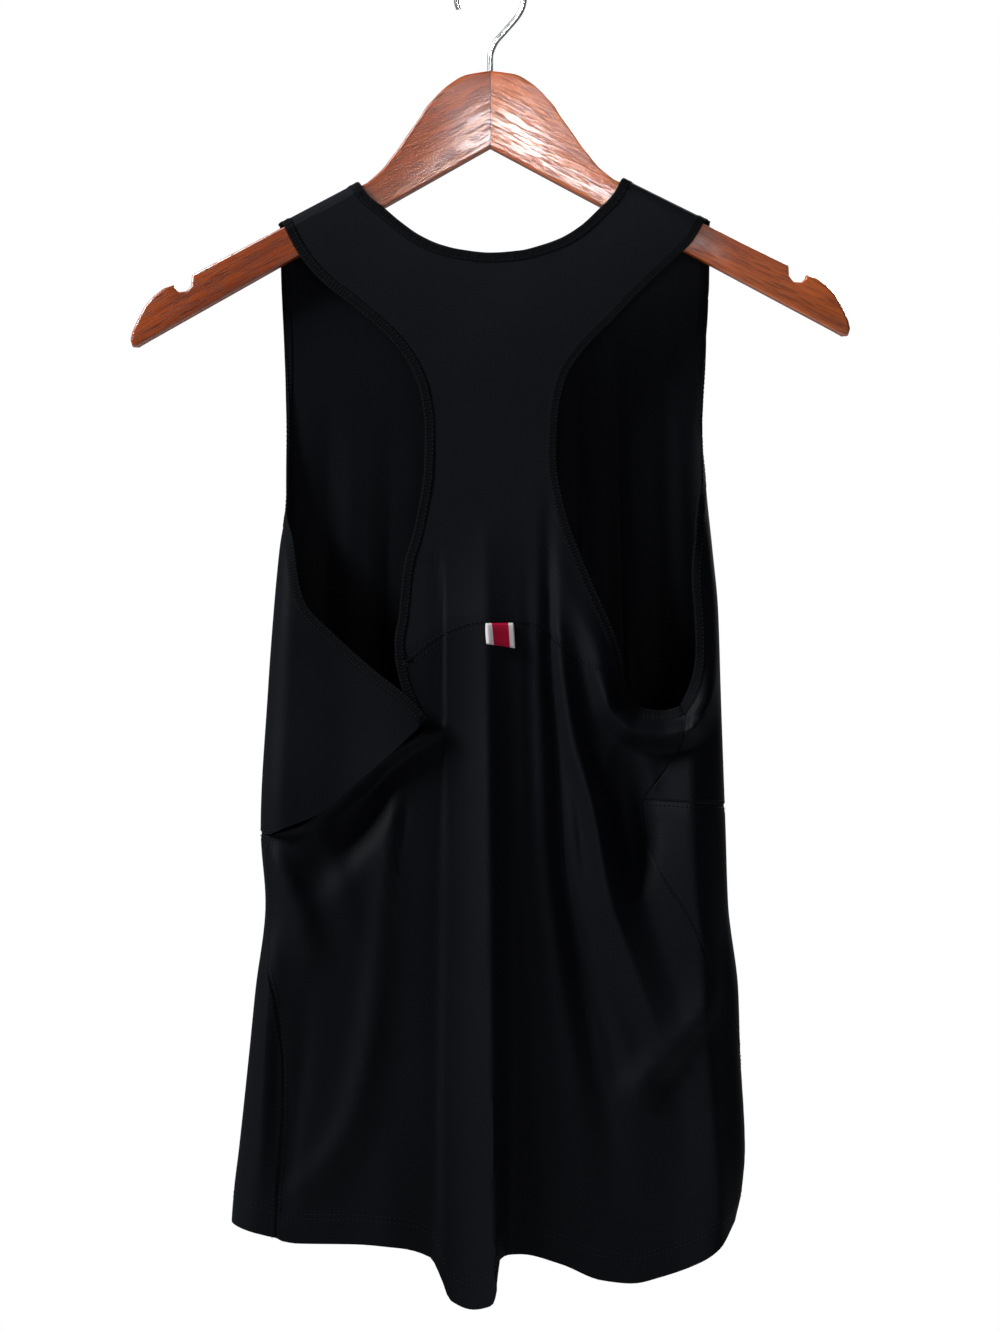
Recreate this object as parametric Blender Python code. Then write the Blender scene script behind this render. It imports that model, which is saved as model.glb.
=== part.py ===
"""A black running singlet with a racer back, hung by its straps on a wooden clothes hanger.

Lengths are in millimetres until the last step, which turns them into metres. The frame's origin is the hang
point, the inside top of the hanger's hook. +Z is up, and the garment's back faces -Y. A point of the cloth is
given by its place across the garment, its depth and its drop, the height below the crown of the hanger's
wood. Every panel is a wall between grids of points, worked out from the same outline and fold tables, so that
neighbours meet at their seams.
"""

import math

import bmesh
import bpy
import numpy as np

# Driving dimensions
CROWN = -66.0  # height of the top of the hanger's wood, below the hang point
GAP = 0.3  # between pieces that touch
SEAM_GAP = 0.65  # between cloth pieces that are sewn edge to edge over a curved face
CLOTH = 1.5  # a panel's wall
BINDING_WIDTH = 6.0
BINDING_PROUD = 0.3  # how far a binding stands out from its panel
WOOD_THICK = 12.0
WOOD_ROUND = 3.0  # radius of the wood's long edges
HANGER_TILT = math.radians(0.9)  # the wearer's right end hangs a little higher
WIRE = 3.6  # diameter of the hook's wire
HOOK_RADIUS = 21.0  # of the wire's middle line
STEM_DEPTH = 20.0  # how far the wire goes into the wood
LABEL_THICK = 1.0
STRAP_SLOPE = 0.511  # of the hanger's shoulders
STRAP_CLEAR = 2.2  # between the wood and the straps
STRAP_FOOT = 76.0  # half width at which the shoulders' straight upper edge starts
STRAP_FOOT_DROP = 68.0
EPSILON = 0.4  # step for measuring a surface's slope


class Table:
    """Rows of sizes with named columns, the first of which the others are read against."""

    def __init__(self, columns, *rows):
        names = columns.split()
        self.key = np.array([row[0] for row in rows], dtype=float)
        self.columns = {name: np.array([row[i] for row in rows], dtype=float) for i, name in enumerate(names)}

    def at(self, name, key):
        """The column's value at each key, on a smooth curve that never overshoots its rows."""
        values = self.columns[name]
        step = np.diff(self.key)
        rise = np.diff(values) / step
        slope = np.zeros(len(values))
        same_way = rise[:-1] * rise[1:] > 0
        between = 2 * rise[:-1] * rise[1:] / np.where(same_way, rise[:-1] + rise[1:], 1)
        slope[1:-1] = np.where(same_way, between, 0)
        slope[0], slope[-1] = rise[0], rise[-1]
        held = np.clip(key, self.key[0], self.key[-1])
        i = np.clip(np.searchsorted(self.key, held, side="right") - 1, 0, len(step) - 1)
        t = (held - self.key[i]) / step[i]
        start, end = values[i], values[i + 1]
        lift = step[i] * (t * (1 - t) ** 2 * slope[i] - t * t * (1 - t) * slope[i + 1])
        return start + (end - start) * t * t * (3 - 2 * t) + lift


# The hanging garment's outline from behind, with the depth and the radius of its rounded side edges
OUTLINE = Table(
    "drop left right depth round",
    (60, -131.5, 136.5, 9.7, 2),
    (126, -130.0, 136.0, 9.7, 2),
    (172, -128.0, 134.0, 10.0, 2),
    (222, -126.5, 131.5, 9.0, 8),
    (262, -126.5, 134.5, 6.0, 12),
    (296, -131.0, 138.0, 5.0, 12),
    (334, -134.5, 141.5, 4.0, 13),
    (383, -138.0, 143.0, 3.0, 15),
    (470, -142.5, 146.0, 2.0, 16),
    (515, -139.5, 147.5, 2.0, 16),
    (569, -145.7, 153.8, 2.0, 17),
    (606, -149.4, 155.0, 2.0, 18),
    (668, -156.0, 158.0, 2.0, 18),
    (693, -159.0, 156.0, 2.0, 18),
    (718, -160.6, 151.0, 2.0, 18),
    (770, -160.0, 148.0, 2.0, 18),
)

# How far the back, the front and the folded flap stand from the hanger's middle plane, before folds
DEPTH = Table(
    "drop back front flap",
    (60, 9.7, 9.7, 9.7),
    (145, 9.7, 9.7, 9.7),
    (200, 9.5, 11.5, 9.0),
    (262, 10.0, 15.0, 9.5),
    (300, 10.5, 18.5, 12.0),
    (350, 12.0, 23.0, 15.5),
    (400, 13.0, 26.0, 17.0),
    (450, 15.0, 29.0, 20.0),
    (600, 18.0, 33.0, 20.0),
    (770, 20.0, 36.0, 20.0),
)

# The back's box pleat: its left edge, its crest, its height, and the reach of its left step and right fall
PLEAT = Table(
    "drop groove crest height step fall",
    (270, -28.0, -9.0, 0.0, 4, 24),
    (345, -28.0, -8.7, 4.5, 4, 24),
    (450, -28.0, -6.5, 9.0, 4, 22),
    (577, -29.5, -2.5, 13.0, 5, 18),
    (700, -30.0, 0.5, 16.0, 6, 10),
    (770, -29.5, 1.0, 17.0, 8, 5),
)

FOLD_COLUMNS = "drop x height left right"

# Ridges and, with a negative height, troughs of the back, seen from behind
BACK_FOLDS = {
    "right ridge": Table(
        FOLD_COLUMNS,
        (285, 41, 0, 6, 10), (352, 42.0, 5, 6, 12),
        (408, 44.6, 9, 6, 14), (457, 54.6, 13, 9, 20),
        (510, 65.7, 14, 12, 26), (577, 77, 12, 14, 34),
        (629, 91, 7, 20, 26), (665, 98, 0, 20, 20),
    ),
    "groove left of the right ridge": Table(
        FOLD_COLUMNS,
        (250, 36.6, 0, 6, 5), (352, 36.6, -4, 8, 5),
        (426, 39, -6, 12, 5), (506, 43.4, -7, 16, 12),
        (577, 54.6, -6, 20, 14), (661, 65.7, -3, 24, 20),
        (710, 70, 0, 24, 24),
    ),
    "left swag": Table(
        FOLD_COLUMNS,
        (395, -56, 0, 10, 9), (436, -60.8, 6, 14, 10),
        (506, -68.8, 9, 22, 12), (577, -77.5, 10, 28, 14),
        (647, -91.8, 9, 26, 16), (678, -105, 5, 22, 18),
        (706, -128, 0, 18, 18),
    ),
    "lip under the left hollow": Table(
        FOLD_COLUMNS,
        (476, -136, 0, 8, 12), (490, -131, 5, 10, 12),
        (521, -117, 6, 14, 14), (560, -108, 0, 14, 14),
    ),
    "left edge ridge": Table(
        FOLD_COLUMNS,
        (520, -139, 0, 9, 9), (549, -137, 4, 9, 9),
        (600, -139, 5, 10, 9), (656, -141, 4, 12, 10),
        (700, -142, 0, 12, 12),
    ),
    "right side": Table(
        FOLD_COLUMNS,
        (330, 124, 0, 14, 20), (400, 124, 5, 16, 20),
        (460, 122, 9, 22, 22), (540, 128, 7, 30, 22),
        (620, 128, 0, 30, 22),
    ),
    "hem flare on the right": Table(
        FOLD_COLUMNS,
        (600, 112, 0, 26, 26), (690, 116, 8, 34, 30),
        (770, 120, 12, 38, 30),
    ),
    "hem flare on the left": Table(
        FOLD_COLUMNS,
        (640, -60, 0, 20, 20), (770, -64, 5, 26, 22),
    ),
}

# Soft vertical folds of the front
FRONT_FOLDS = {
    "far left": Table(FOLD_COLUMNS, (200, -100, 0, 14, 14), (330, -103, 4, 14, 16), (770, -118, 9, 20, 24)),
    "left": Table(FOLD_COLUMNS, (210, -62, 0, 12, 15), (420, -66, 4, 14, 18), (770, -72, 8, 22, 24)),
    "left of the middle": Table(FOLD_COLUMNS, (260, -24, 0, 14, 14), (470, -26, 3, 16, 18),
        (770, -28, 9, 20, 18)),
    "right of the middle": Table(FOLD_COLUMNS, (240, 14, 0, 12, 14), (430, 18, 4, 16, 14),
        (770, 22, 7, 22, 20)),
    "inner right": Table(FOLD_COLUMNS, (170, 53, 0, 8, 8), (300, 55, 3, 10, 9), (770, 66, 8, 20, 18)),
    "right": Table(FOLD_COLUMNS, (150, 78, 0, 9, 8), (300, 81, 4, 10, 10), (560, 94, 5, 18, 16),
        (770, 104, 10, 18, 20)),
    "far right": Table(FOLD_COLUMNS, (150, 108, 0, 9, 8), (320, 112, 3, 11, 9), (600, 128, 0, 12, 10)),
}

# The right armhole's lower stretch, where the cloth sags in a cowl: its edge, and the cowl's height there
COWL_EDGE = ((56.4, 300), (68.2, 327.4), (78.7, 352.8), (83, 372.6), (86.8, 387.5), (93.6, 393.7),
             (106, 395.6), (114.7, 393.7), (122, 380), (126.5, 360), (126, 330))
COWL_HEIGHT = (0, 3, 7, 10, 13, 14, 14, 12, 8, 4, 0)
COWL_CREST = 16.0  # from the armhole's edge to the top of the roll
COWL_FALL = 11.0

# Hollows that the folded sides leave in the back: centre, half length, half width, lean and depth
RIGHT_HOLLOW = dict(x=86, drop=464, long=54, wide=19, lean=math.radians(-4), depth=20)
LEFT_HOLLOW = dict(x=-84, drop=462, long=64, wide=22, lean=math.radians(30), depth=15)

# Finished edges and seams. A row is a point: across, drop
YOKE_EDGE_LEFT = ((-131.4, 0), (-119, 113), (-103, 132), (-87, 144.5), (-59.5, 169), (-48.4, 185.4),
                  (-42.8, 201.5),
                  (-40.3, 221.3), (-41, 248.6), (-44, 269), (-48.4, 289.5), (-52.7, 303), (-54.8, 320),
                  (-56.5, 338), (-59, 352), (-59, 362))
YOKE_EDGE_RIGHT = ((136, 0), (124, 107), (112, 119), (90, 140), (75, 156), (58.3, 173), (46.5, 192),
                   (42, 215), (41, 238), (47, 273.4), (56.4, 300), (68.2, 327.4), (78.7, 352.8), (83, 371))
NECK_BACK = ((-83.7, 0), (-75.6, 77.5), (-66.3, 84.7), (-55.8, 93.6), (-43.4, 102.3), (-31, 107.9),
             (-18.6, 111),
             (0, 113), (18.6, 111.6), (31, 108.5), (43.4, 104), (55.8, 96.4), (66, 87), (76.5, 76), (83.7, 0))
NECK_FRONT = ((-83.7, 0), (-78.5, 76), (-75, 95), (-69, 115), (-57, 137), (-38, 155), (0, 165), (38, 155),
              (57, 137), (69, 115), (75, 95), (78.5, 74), (83.7, 0))
YOKE_SEAM = ((-60, 366), (-50, 364.6), (-37.6, 355.6), (-26.7, 348.8), (-10.5, 343.5), (0, 342.5),
             (16.7, 342), (30.4, 344.5), (38, 352), (50.6, 363), (62, 369), (74, 373), (84, 374))
COWL_STRETCH = ((83, 375), (86.8, 387.5), (93.6, 393.7), (106, 395.6), (114.7, 393.7))
BACK_EDGE_LEFT = ((-59, 364), (-57.7, 370), (-54, 384), (-47, 400), (-45, 406))
TUCK = ((-39, 407), (-44, 411), (-60, 420), (-73, 430), (-90, 445), (-104, 457.5), (-116, 466.5),
        (-124, 469.5), (-135.5, 473))
FLAP_ARMHOLE = ((-121.5, 289.5), (-117, 319), (-113, 330.5), (-96, 348.4), (-72, 370), (-47, 390),
                (-38.4, 400))
FLAP_FOLD = ((-42.6, 404.7), (-56.4, 418), (-66, 426.6), (-84, 442), (-100.4, 456.5), (-112, 462.5),
             (-121, 465.8), (-135.5, 472))
RIGHT_ARMHOLE = ((131, 240), (128, 270), (126, 288), (124.6, 321), (126, 339), (126.5, 360), (124, 376),
                 (117, 392.5))
SEAM_RIGHT_UPPER = ((119.5, 398.5), (118.5, 412), (109, 431), (94, 451))
SEAM_RIGHT_LOWER = ((94, 451), (96, 476), (103.5, 493), (124.6, 526.4), (139, 563), (146, 585))
SEAM_RIGHT_WRAP = ((1, 610), (8, 640), (24, 705))  # past the garment's right edge, drop
SEAM_LEFT = ((-135.5, 473), (-138, 492), (-137.5, 532), (-131, 585), (-128, 613), (-129, 660), (-132, 720))

# The columns of the back panel's grid: across at the yoke seam and at the hem, so that they follow the folds
BACK_COLUMNS = Table(
    "number top hem",
    (0, -52.7, -132), (1, -47.5, -116), (2, -42, -98), (3, -36, -78), (4, -32.5, -56), (5, -29.5, -37),
    (6, -26.5, -27), (7, -20.5, -18), (8, -14.5, -8), (9, -8.7, 1), (10, 1, 6), (11, 10, 16), (12, 19, 30),
    (13, 28, 46), (14, 36.6, 62), (15, 43, 78), (16, 50.6, 94), (17, 62, 108), (18, 76.3, 120),
)
HEM_BACK = Table(
    "across drop",
    (-161, 709), (-149, 716), (-136, 720), (-118, 723.5), (-81, 724), (-56, 726), (-37, 732), (-31, 743),
    (-25, 758),
    (-12, 763), (0, 759.5), (3, 752), (6.5, 731), (18.6, 730), (43, 736), (68, 746), (87, 748), (105, 744),
    (124, 737), (142.6, 725), (158, 699),
)
HEM_FRONT = Table("share drop", (0, 720), (0.12, 712), (0.3, 716), (0.5, 719), (0.75, 718), (0.92, 706),
    (1, 705))
WAIST_ROW = 13  # of YOKE_ROWS, where the yoke is narrowest
FAN_ROWS = 4
NECK_STATIONS = np.concatenate([(0, 3, 6, 9), np.linspace(12, 191, 37), (194, 197, 200, 203)])
COWL_CELLS = 7
SIDE_COLUMN = 17  # the back panel's grid follows its right side seam from this column on
SIDE_ROUNDS = 40  # of evening out that part of the grid
UPPER_ROWS = 12  # of the back panel, down to where the hem panel of the front begins
LOWER_ROWS = 13
YOKE_ROWS = (0, 3, 6, 9, 12, 18, 27, 38, 50, 63, 77, 92, 108, 125, 142, 160, 178, 196, 214, 232, 250, 268)
FRONT_ROWS_LEFT = (0, 3, 6, 9, 12, 24, 44, 66, 90, 116, 142, 166, 190, 212, 234, 256, 276, 294, 310, 325, 340)
FRONT_ROWS_RIGHT = (0, 3, 6, 9, 12, 24, 44, 70, 94, 112, 126, 137, 147, 158, 170, 184, 202, 222, 246, 271,
                    296)
FLAP_ROWS = 12
TUCK_ROWS = 8
# The front's columns round a side edge, by their distance from it
EDGE_RUNS = np.array((-108, -94, -80, -66, -52, -38, -27, -19, -12, -5, 2, 9, 17, 25, 34))
CLOSEST = 1.6  # between two of the front's columns
FRONT_STRAP_CELLS = len(EDGE_RUNS)
FRONT_NECK_STATIONS = (0, 3.5, 7, 10.5, 14, 25, 40, 56, 74, 94, 114, 136, 158, 178, 198, 216, 232, 247,
                       258, 261.5, 265, 268.5, 272)

# The hanger's outline from its middle: half width and drop, along the top and round the end
CROWN_LINE = ((0, 0), (15.5, 2.5), (24.5, 7.4), (30.7, 12.4), (35.6, 17.4), (40, 22.3), (43, 27.3),
              (46.5, 32.2),
              (50, 37.2), (53.3, 42), (56.7, 47), (61.4, 53), (67, 60), (STRAP_FOOT, STRAP_FOOT_DROP))
NOTCH_AND_END = ((184.5, 123.5), (185, 130), (188, 133.5), (192.5, 134), (195, 131.5), (195.6, 129.5),
                 (202, 131.5),
                 (208, 136), (213.5, 142), (217.6, 149.5), (221.5, 158), (222.6, 163), (221.5, 167),
                 (218, 167.2), (211, 163.2))
ARCH_TOP = 47.5  # drop of the hanger's underside at the middle


def smooth(q):
    """A soft step from 0 to 1."""
    q = np.clip(q, 0, 1)
    return q * q * (3 - 2 * q)


def crest(offset, left, right):
    """A ridge's section: 1 on its crest, falling to 0 at its reach on either side."""
    q = np.clip(np.abs(offset) / np.where(offset < 0, left, right), 0, 1)
    return (1 - q) ** 1.5 * (1 + 0.5 * q)


def folds(table_set, x, drop):
    """The height that a set of folds adds at each point."""
    total = np.zeros(np.shape(x))
    for fold in table_set.values():
        inside = (drop >= fold.key[0]) & (drop <= fold.key[-1])
        section = crest(x - fold.at("x", drop), fold.at("left", drop), fold.at("right", drop))
        total = total + np.where(inside, fold.at("height", drop) * section, 0)
    return total


def pleat(x, drop):
    """The box pleat down the middle of the back: a step at its left, a rising face, a crest and a fall."""
    groove, top, step = PLEAT.at("groove", drop), PLEAT.at("crest", drop), PLEAT.at("step", drop)
    face = 0.55 * smooth((x - groove + step) / step) + 0.45 * np.clip((x - groove) / (top - groove), 0, 1)
    fall = (1 - np.clip((x - top) / PLEAT.at("fall", drop), 0, 1)) ** 1.4
    valley = 2.0 * crest(x - groove + step, 8, step)
    return PLEAT.at("height", drop) * np.where(x < top, face, fall) - np.where(drop > 300, valley, 0)


def cowl(x, drop):
    """The roll of cloth that sags round the right armhole's lower end."""
    nearest = np.full(np.shape(x), 1e9)
    height = np.zeros(np.shape(x))
    for (x0, d0), (x1, d1), h0, h1 in zip(COWL_EDGE, COWL_EDGE[1:], COWL_HEIGHT, COWL_HEIGHT[1:]):
        length2 = (x1 - x0) ** 2 + (d1 - d0) ** 2
        t = np.clip(((x - x0) * (x1 - x0) + (drop - d0) * (d1 - d0)) / length2, 0, 1)
        away = np.hypot(x - x0 - t * (x1 - x0), drop - d0 - t * (d1 - d0))
        height = np.where(away < nearest, h0 + (h1 - h0) * t, height)
        nearest = np.minimum(nearest, away)
    roll = np.where(nearest < COWL_CREST, smooth(nearest / COWL_CREST),
                    (1 - np.clip((nearest - COWL_CREST) / COWL_FALL, 0, 1)) ** 1.3)
    return height * roll


def hollow(shape, x, drop):
    """A soft oval hollow's depth."""
    across, down = x - shape["x"], drop - shape["drop"]
    along = down * math.cos(shape["lean"]) - across * math.sin(shape["lean"])
    aside = across * math.cos(shape["lean"]) + down * math.sin(shape["lean"])
    q = np.clip((along / shape["long"]) ** 2 + (aside / shape["wide"]) ** 2, 0, 1)
    return shape["depth"] * (1 - q) ** 1.6


def back_layer(x, drop):
    """Depth of the back's outer face."""
    height = DEPTH.at("back", drop) + folds(BACK_FOLDS, x, drop) + pleat(x, drop) + cowl(x, drop)
    return hollow(RIGHT_HOLLOW, x, drop) + hollow(LEFT_HOLLOW, x, drop) - height


def front_layer(x, drop):
    """Depth of the front's outer face."""
    return DEPTH.at("front", drop) + folds(FRONT_FOLDS, x, drop)


def flap_layer(x, drop):
    """Depth of the left side where it is folded over the back."""
    bulge = 3.0 * np.exp(-((x + 104) / 22) ** 2 - ((drop - 408) / 34) ** 2)
    return -DEPTH.at("flap", drop) - bulge


def wrapped_layer(x, drop):
    """The front panel where it comes round: the flap on the left, the back's own face on the right."""
    return np.where(x < 0, flap_layer(x, drop), back_layer(x, drop))


def tucked_layer(x, drop):
    """The back panel's face, rising at its left border to the underside of the flap."""
    border = np.interp(drop, [point[1] for point in TUCK], [point[0] for point in TUCK])
    under_flap = smooth((drop - 402) / 10) * smooth((474 - drop) / 8)
    share = under_flap * (1 - smooth((x - border - 2) / 15))
    meeting = np.maximum(flap_layer(x, drop), -DEPTH.at("flap", drop) - 3) + CLOTH + 2.5 * GAP
    return back_layer(x, drop) * (1 - share) + meeting * share


def girth(drop):
    """Developed width of one side, from the left edge to the right."""
    bend = (math.pi - 2) * OUTLINE.at("round", drop)
    return OUTLINE.at("right", drop) - OUTLINE.at("left", drop) + bend


def unrolled(inward, drop):
    """Distance along the cloth from a rounded side edge to the point that lies so far inward of it."""
    radius = OUTLINE.at("round", drop)
    bent = radius * np.arccos(np.clip(1 - np.maximum(inward, 0) / radius, -1, 1))
    return np.where(inward < radius, bent, radius * math.pi / 2 + inward - radius)


def body(near, far, run, drop):
    """A point at the distance run round the garment from its left edge, as across, depth, drop."""
    radius, width = OUTLINE.at("round", drop), girth(drop)
    on_right = run > width / 2
    reach = np.where(on_right, width - run, run)
    turn = np.minimum(np.abs(reach) / radius, math.pi / 2)
    inward = radius * (1 - np.cos(turn)) + np.maximum(np.abs(reach) - radius * math.pi / 2, 0)
    x = np.where(on_right, OUTLINE.at("right", drop) - inward, OUTLINE.at("left", drop) + inward)
    layer = np.where(reach >= 0, near(x, drop), far(x, drop))
    edge = OUTLINE.at("depth", drop)
    return x, edge + np.sin(turn) * (layer - edge), drop


def ridge(x):
    """Drop of the line along which the straps cross the hanger, on the cloth's outer face."""
    wood = STRAP_FOOT_DROP + STRAP_SLOPE * (np.abs(x) - STRAP_FOOT) - x * math.tan(HANGER_TILT)
    return wood - (STRAP_CLEAR + CLOTH) * math.hypot(1, STRAP_SLOPE)


WRAP_FLAT = WOOD_THICK / 2 - WOOD_ROUND
WRAP_RADIUS = WOOD_ROUND + STRAP_CLEAR + CLOTH
WRAP_EXTRA = WRAP_FLAT + WRAP_RADIUS * (math.pi / 2 - 1)  # cloth taken up by bending over the wood


def over_hanger(side, face, x, drop):
    """A point of a strap: it bends over the hanger's rounded top, then hangs down on that side."""
    past = drop - ridge(x) + WRAP_EXTRA
    turn = np.clip((past - WRAP_FLAT) / WRAP_RADIUS, 0, math.pi / 2)
    bent = np.minimum(past, WRAP_FLAT) + WRAP_RADIUS * np.sin(turn)
    hanging = past > WRAP_FLAT + WRAP_RADIUS * math.pi / 2
    depth = np.where(hanging, face, side * bent)
    return depth, np.where(hanging, drop, ridge(x) + WRAP_RADIUS * (1 - np.cos(turn)))


def yoke_surface(x, drop):
    depth, low = over_hanger(-1, back_layer(x, drop), x, drop)
    return x, depth, low


def back_surface(run, drop):
    return body(tucked_layer, front_layer, run, drop)


def front_surface(run, drop):
    x, face, _ = body(front_layer, wrapped_layer, run, drop)
    depth, low = over_hanger(1, face, x, drop)
    high = drop < 145
    return x, np.where(high, depth, face), np.where(high, low, drop)


def hem_surface(run, drop):
    return body(front_layer, back_layer, run, drop)


def along(points, stations):
    """Points on a smooth curve through the given ones, at a number of even steps or at given lengths."""
    points = np.array(points, dtype=float)
    length = np.concatenate([[0], np.cumsum(np.hypot(*np.diff(points, axis=0).T))])
    curve = Table("length x drop", *zip(length, points[:, 0], points[:, 1]))
    if np.ndim(stations) == 0:
        stations = np.linspace(0, length[-1], stations + 1)
    else:
        stations = np.array(stations) * length[-1] / stations[-1]
    return np.stack([curve.at("x", stations), curve.at("drop", stations)], axis=1)


def moved(line, distance):
    """A line of points moved sideways, to its left for a positive distance."""
    way = np.gradient(line, axis=0)
    way /= np.linalg.norm(way, axis=1, keepdims=True)
    return line + distance * np.stack([way[:, 1], -way[:, 0]], axis=1)


def joined(*lines):
    """One line from several, each starting where the last one ends."""
    return np.concatenate([lines[0]] + [line[1:] for line in lines[1:]])


def shares(line):
    """How far along a line each of its points lies, from 0 to 1."""
    length = np.concatenate([[0], np.cumsum(np.hypot(*np.diff(line, axis=0).T))])
    return length / length[-1]


def patch(left, right, top, bottom, fade):
    """A grid between four borders. The side borders' bends fade with the distance from them."""
    top, bottom = np.array(top), np.array(bottom)
    top[[0, -1]] = left[0], right[0]
    bottom[[0, -1]] = left[-1], right[-1]
    s = np.linspace(0, 1, len(top))[None, :, None]
    t = (shares(left) + shares(right))[:, None] / 2
    bend_left = left - left[0] - t * (left[-1] - left[0])
    bend_right = right - right[0] - t * (right[-1] - right[0])
    grid = (1 - t[:, None]) * top[None] + t[:, None] * bottom[None]
    return grid + (1 - s) ** fade * bend_left[:, None] + s ** fade * bend_right[:, None]


def relaxed(grid, rounds):
    """A grid with its inner points evened out, so that none of its cells folds over, and its borders kept."""
    grid = np.array(grid)
    for _ in range(rounds):
        across = (grid[1:-1, 2:] - grid[1:-1, :-2]) / 2
        down = (grid[2:, 1:-1] - grid[:-2, 1:-1]) / 2
        wide = (down ** 2).sum(axis=-1, keepdims=True)
        high = (across ** 2).sum(axis=-1, keepdims=True)
        skew = (across * down).sum(axis=-1, keepdims=True)
        twist = (grid[2:, 2:] - grid[2:, :-2] - grid[:-2, 2:] + grid[:-2, :-2]) / 2
        beside = wide * (grid[1:-1, 2:] + grid[1:-1, :-2]) + high * (grid[2:, 1:-1] + grid[:-2, 1:-1])
        grid[1:-1, 1:-1] = (beside - skew * twist) / (2 * (wide + high))
    return grid


def spread(left, right, top, bottom):
    """A patch whose columns keep their places round the two side edges, and are even between them."""
    grid = patch(left, right, top, bottom, 1)
    run, drop = grid[..., 0], grid[..., 1]
    edge = len(EDGE_RUNS)
    step = CLOSEST * np.arange(edge)
    first = np.maximum(EDGE_RUNS, run[:, :1] + step)
    last = np.minimum(girth(drop[:, -edge:]) - EDGE_RUNS[::-1], run[:, -1:] - step[::-1])
    start, end = first[:, -1:], last[:, :1]
    like_top = (run[:1, edge:-edge] - start[:1]) / (end[:1] - start[:1])
    even = np.linspace(0, 1, like_top.shape[1] + 2)[None, 1:-1]
    down = shares(left)[:, None]
    middle = start + ((1 - down) * like_top + down * even) * (end - start)
    new_run = np.concatenate([first, middle, last], axis=1)
    new_drop = np.stack([np.interp(places, *line.T) for places, line in zip(new_run, grid)])
    return np.stack([new_run, new_drop], axis=-1)


def placed(surface, chart, out):
    """The chart's points on the surface, and the surface's outward direction at each."""
    a, b = chart[..., 0], chart[..., 1]
    point = np.stack(surface(a, b), axis=-1)
    ahead = np.stack(surface(a + EPSILON, b), axis=-1) - point
    behind = point - np.stack(surface(a - EPSILON, b), axis=-1)
    turns_back = np.linalg.norm(ahead + behind, axis=-1, keepdims=True) < EPSILON / 2
    towards_middle = np.where(ahead[..., :1] > behind[..., :1], ahead, behind)
    da = np.where(turns_back, towards_middle, ahead + behind)
    db = np.stack(surface(a, b + EPSILON), axis=-1) - np.stack(surface(a, b - EPSILON), axis=-1)
    normal = out * np.cross(da, db)
    return point, normal / np.linalg.norm(normal, axis=-1, keepdims=True)


def metres(points):
    """Across, depth and drop in millimetres, as X, Y and Z in metres."""
    points = np.asarray(points, dtype=float)
    return np.stack([points[..., 0], points[..., 1], CROWN - points[..., 2]], axis=-1) / 1000


def finish(name, mesh, material):
    """An object from a bmesh, with its material."""
    data = bpy.data.meshes.new(name)
    mesh.to_mesh(data)
    mesh.free()
    data.materials.append(material)
    piece = bpy.data.objects.new(name, data)
    bpy.context.collection.objects.link(piece)
    return piece


def wall(name, faces, material):
    """A closed wall from pairs of grids of points, outer and inner, that meet along a shared line."""
    mesh = bmesh.new()
    number = mesh.verts.layers.int.new("number")
    inner_places = []
    for outer, inner in faces:
        rows, columns = outer.shape[:2]
        bmesh.ops.create_grid(mesh, x_segments=columns - 1, y_segments=rows - 1, size=1)
        for vertex, place in zip(list(mesh.verts)[len(inner_places):], metres(outer).reshape(-1, 3)):
            vertex.co = place
        inner_places.extend(metres(inner).reshape(-1, 3))
    for i, vertex in enumerate(mesh.verts):
        vertex[number] = i
    bmesh.ops.remove_doubles(mesh, verts=mesh.verts, dist=1e-6)
    bmesh.ops.triangulate(mesh, faces=mesh.faces, quad_method="FIXED")
    far_side = bmesh.ops.extrude_face_region(mesh, geom=mesh.faces[:])["geom"]
    for vertex in (item for item in far_side if isinstance(item, bmesh.types.BMVert)):
        vertex.co = inner_places[vertex[number]]
    bmesh.ops.recalc_face_normals(mesh, faces=mesh.faces)
    piece = finish(name, mesh, material)
    piece.data.shade_smooth()
    piece.data.set_sharp_from_angle(angle=math.radians(50))
    return piece


def panel(name, surface, charts, out, material):
    """A cloth panel: its outer face on the surface and its wall inside it."""
    faces = []
    for chart in charts:
        point, normal = placed(surface, chart, out)
        faces.append((point, point - CLOTH * normal))
    return wall(name, faces, material)


def strip(surface, border, side, out, ridges=(), end=None):
    """A binding's two faces along a panel's border: just past it, and proud of the panel's outer face."""
    inner_edge, outer_edge = moved(border, side * SEAM_GAP), moved(border, side * (SEAM_GAP + BINDING_WIDTH))
    chart = np.stack([inner_edge, outer_edge], axis=1)
    for i in ridges:
        chart[i] = on_ridge(surface, chart[i])
    if end is not None:
        chart[-1] = end
    point, normal = placed(surface, chart, out)
    return point + BINDING_PROUD * normal, point - CLOTH * normal


def binding(name, strips, material):
    """One binding along one or more borders, end to end."""
    outer = np.concatenate([strips[0][0]] + [faces[0][1:] for faces in strips[1:]])
    inner = np.concatenate([strips[0][1]] + [faces[1][1:] for faces in strips[1:]])
    return wall(name, [(outer, inner)], material)


def finish_material(name, colour, roughness, metallic=0.0):
    material = bpy.data.materials.new(name)
    material.use_nodes = True
    shader = material.node_tree.nodes["Principled BSDF"]
    shader.inputs["Base Color"].default_value = (*colour, 1)
    shader.inputs["Roughness"].default_value = roughness
    shader.inputs["Metallic"].default_value = metallic
    return material


INSET = BINDING_WIDTH + SEAM_GAP  # from a bound edge to the panel's own border


def ridge_point(x):
    """Where the cloth over x starts, at the shoulder seam on the ridge, in drop before it is bent."""
    return (x, float(ridge(x)) - WRAP_EXTRA + GAP)


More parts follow.
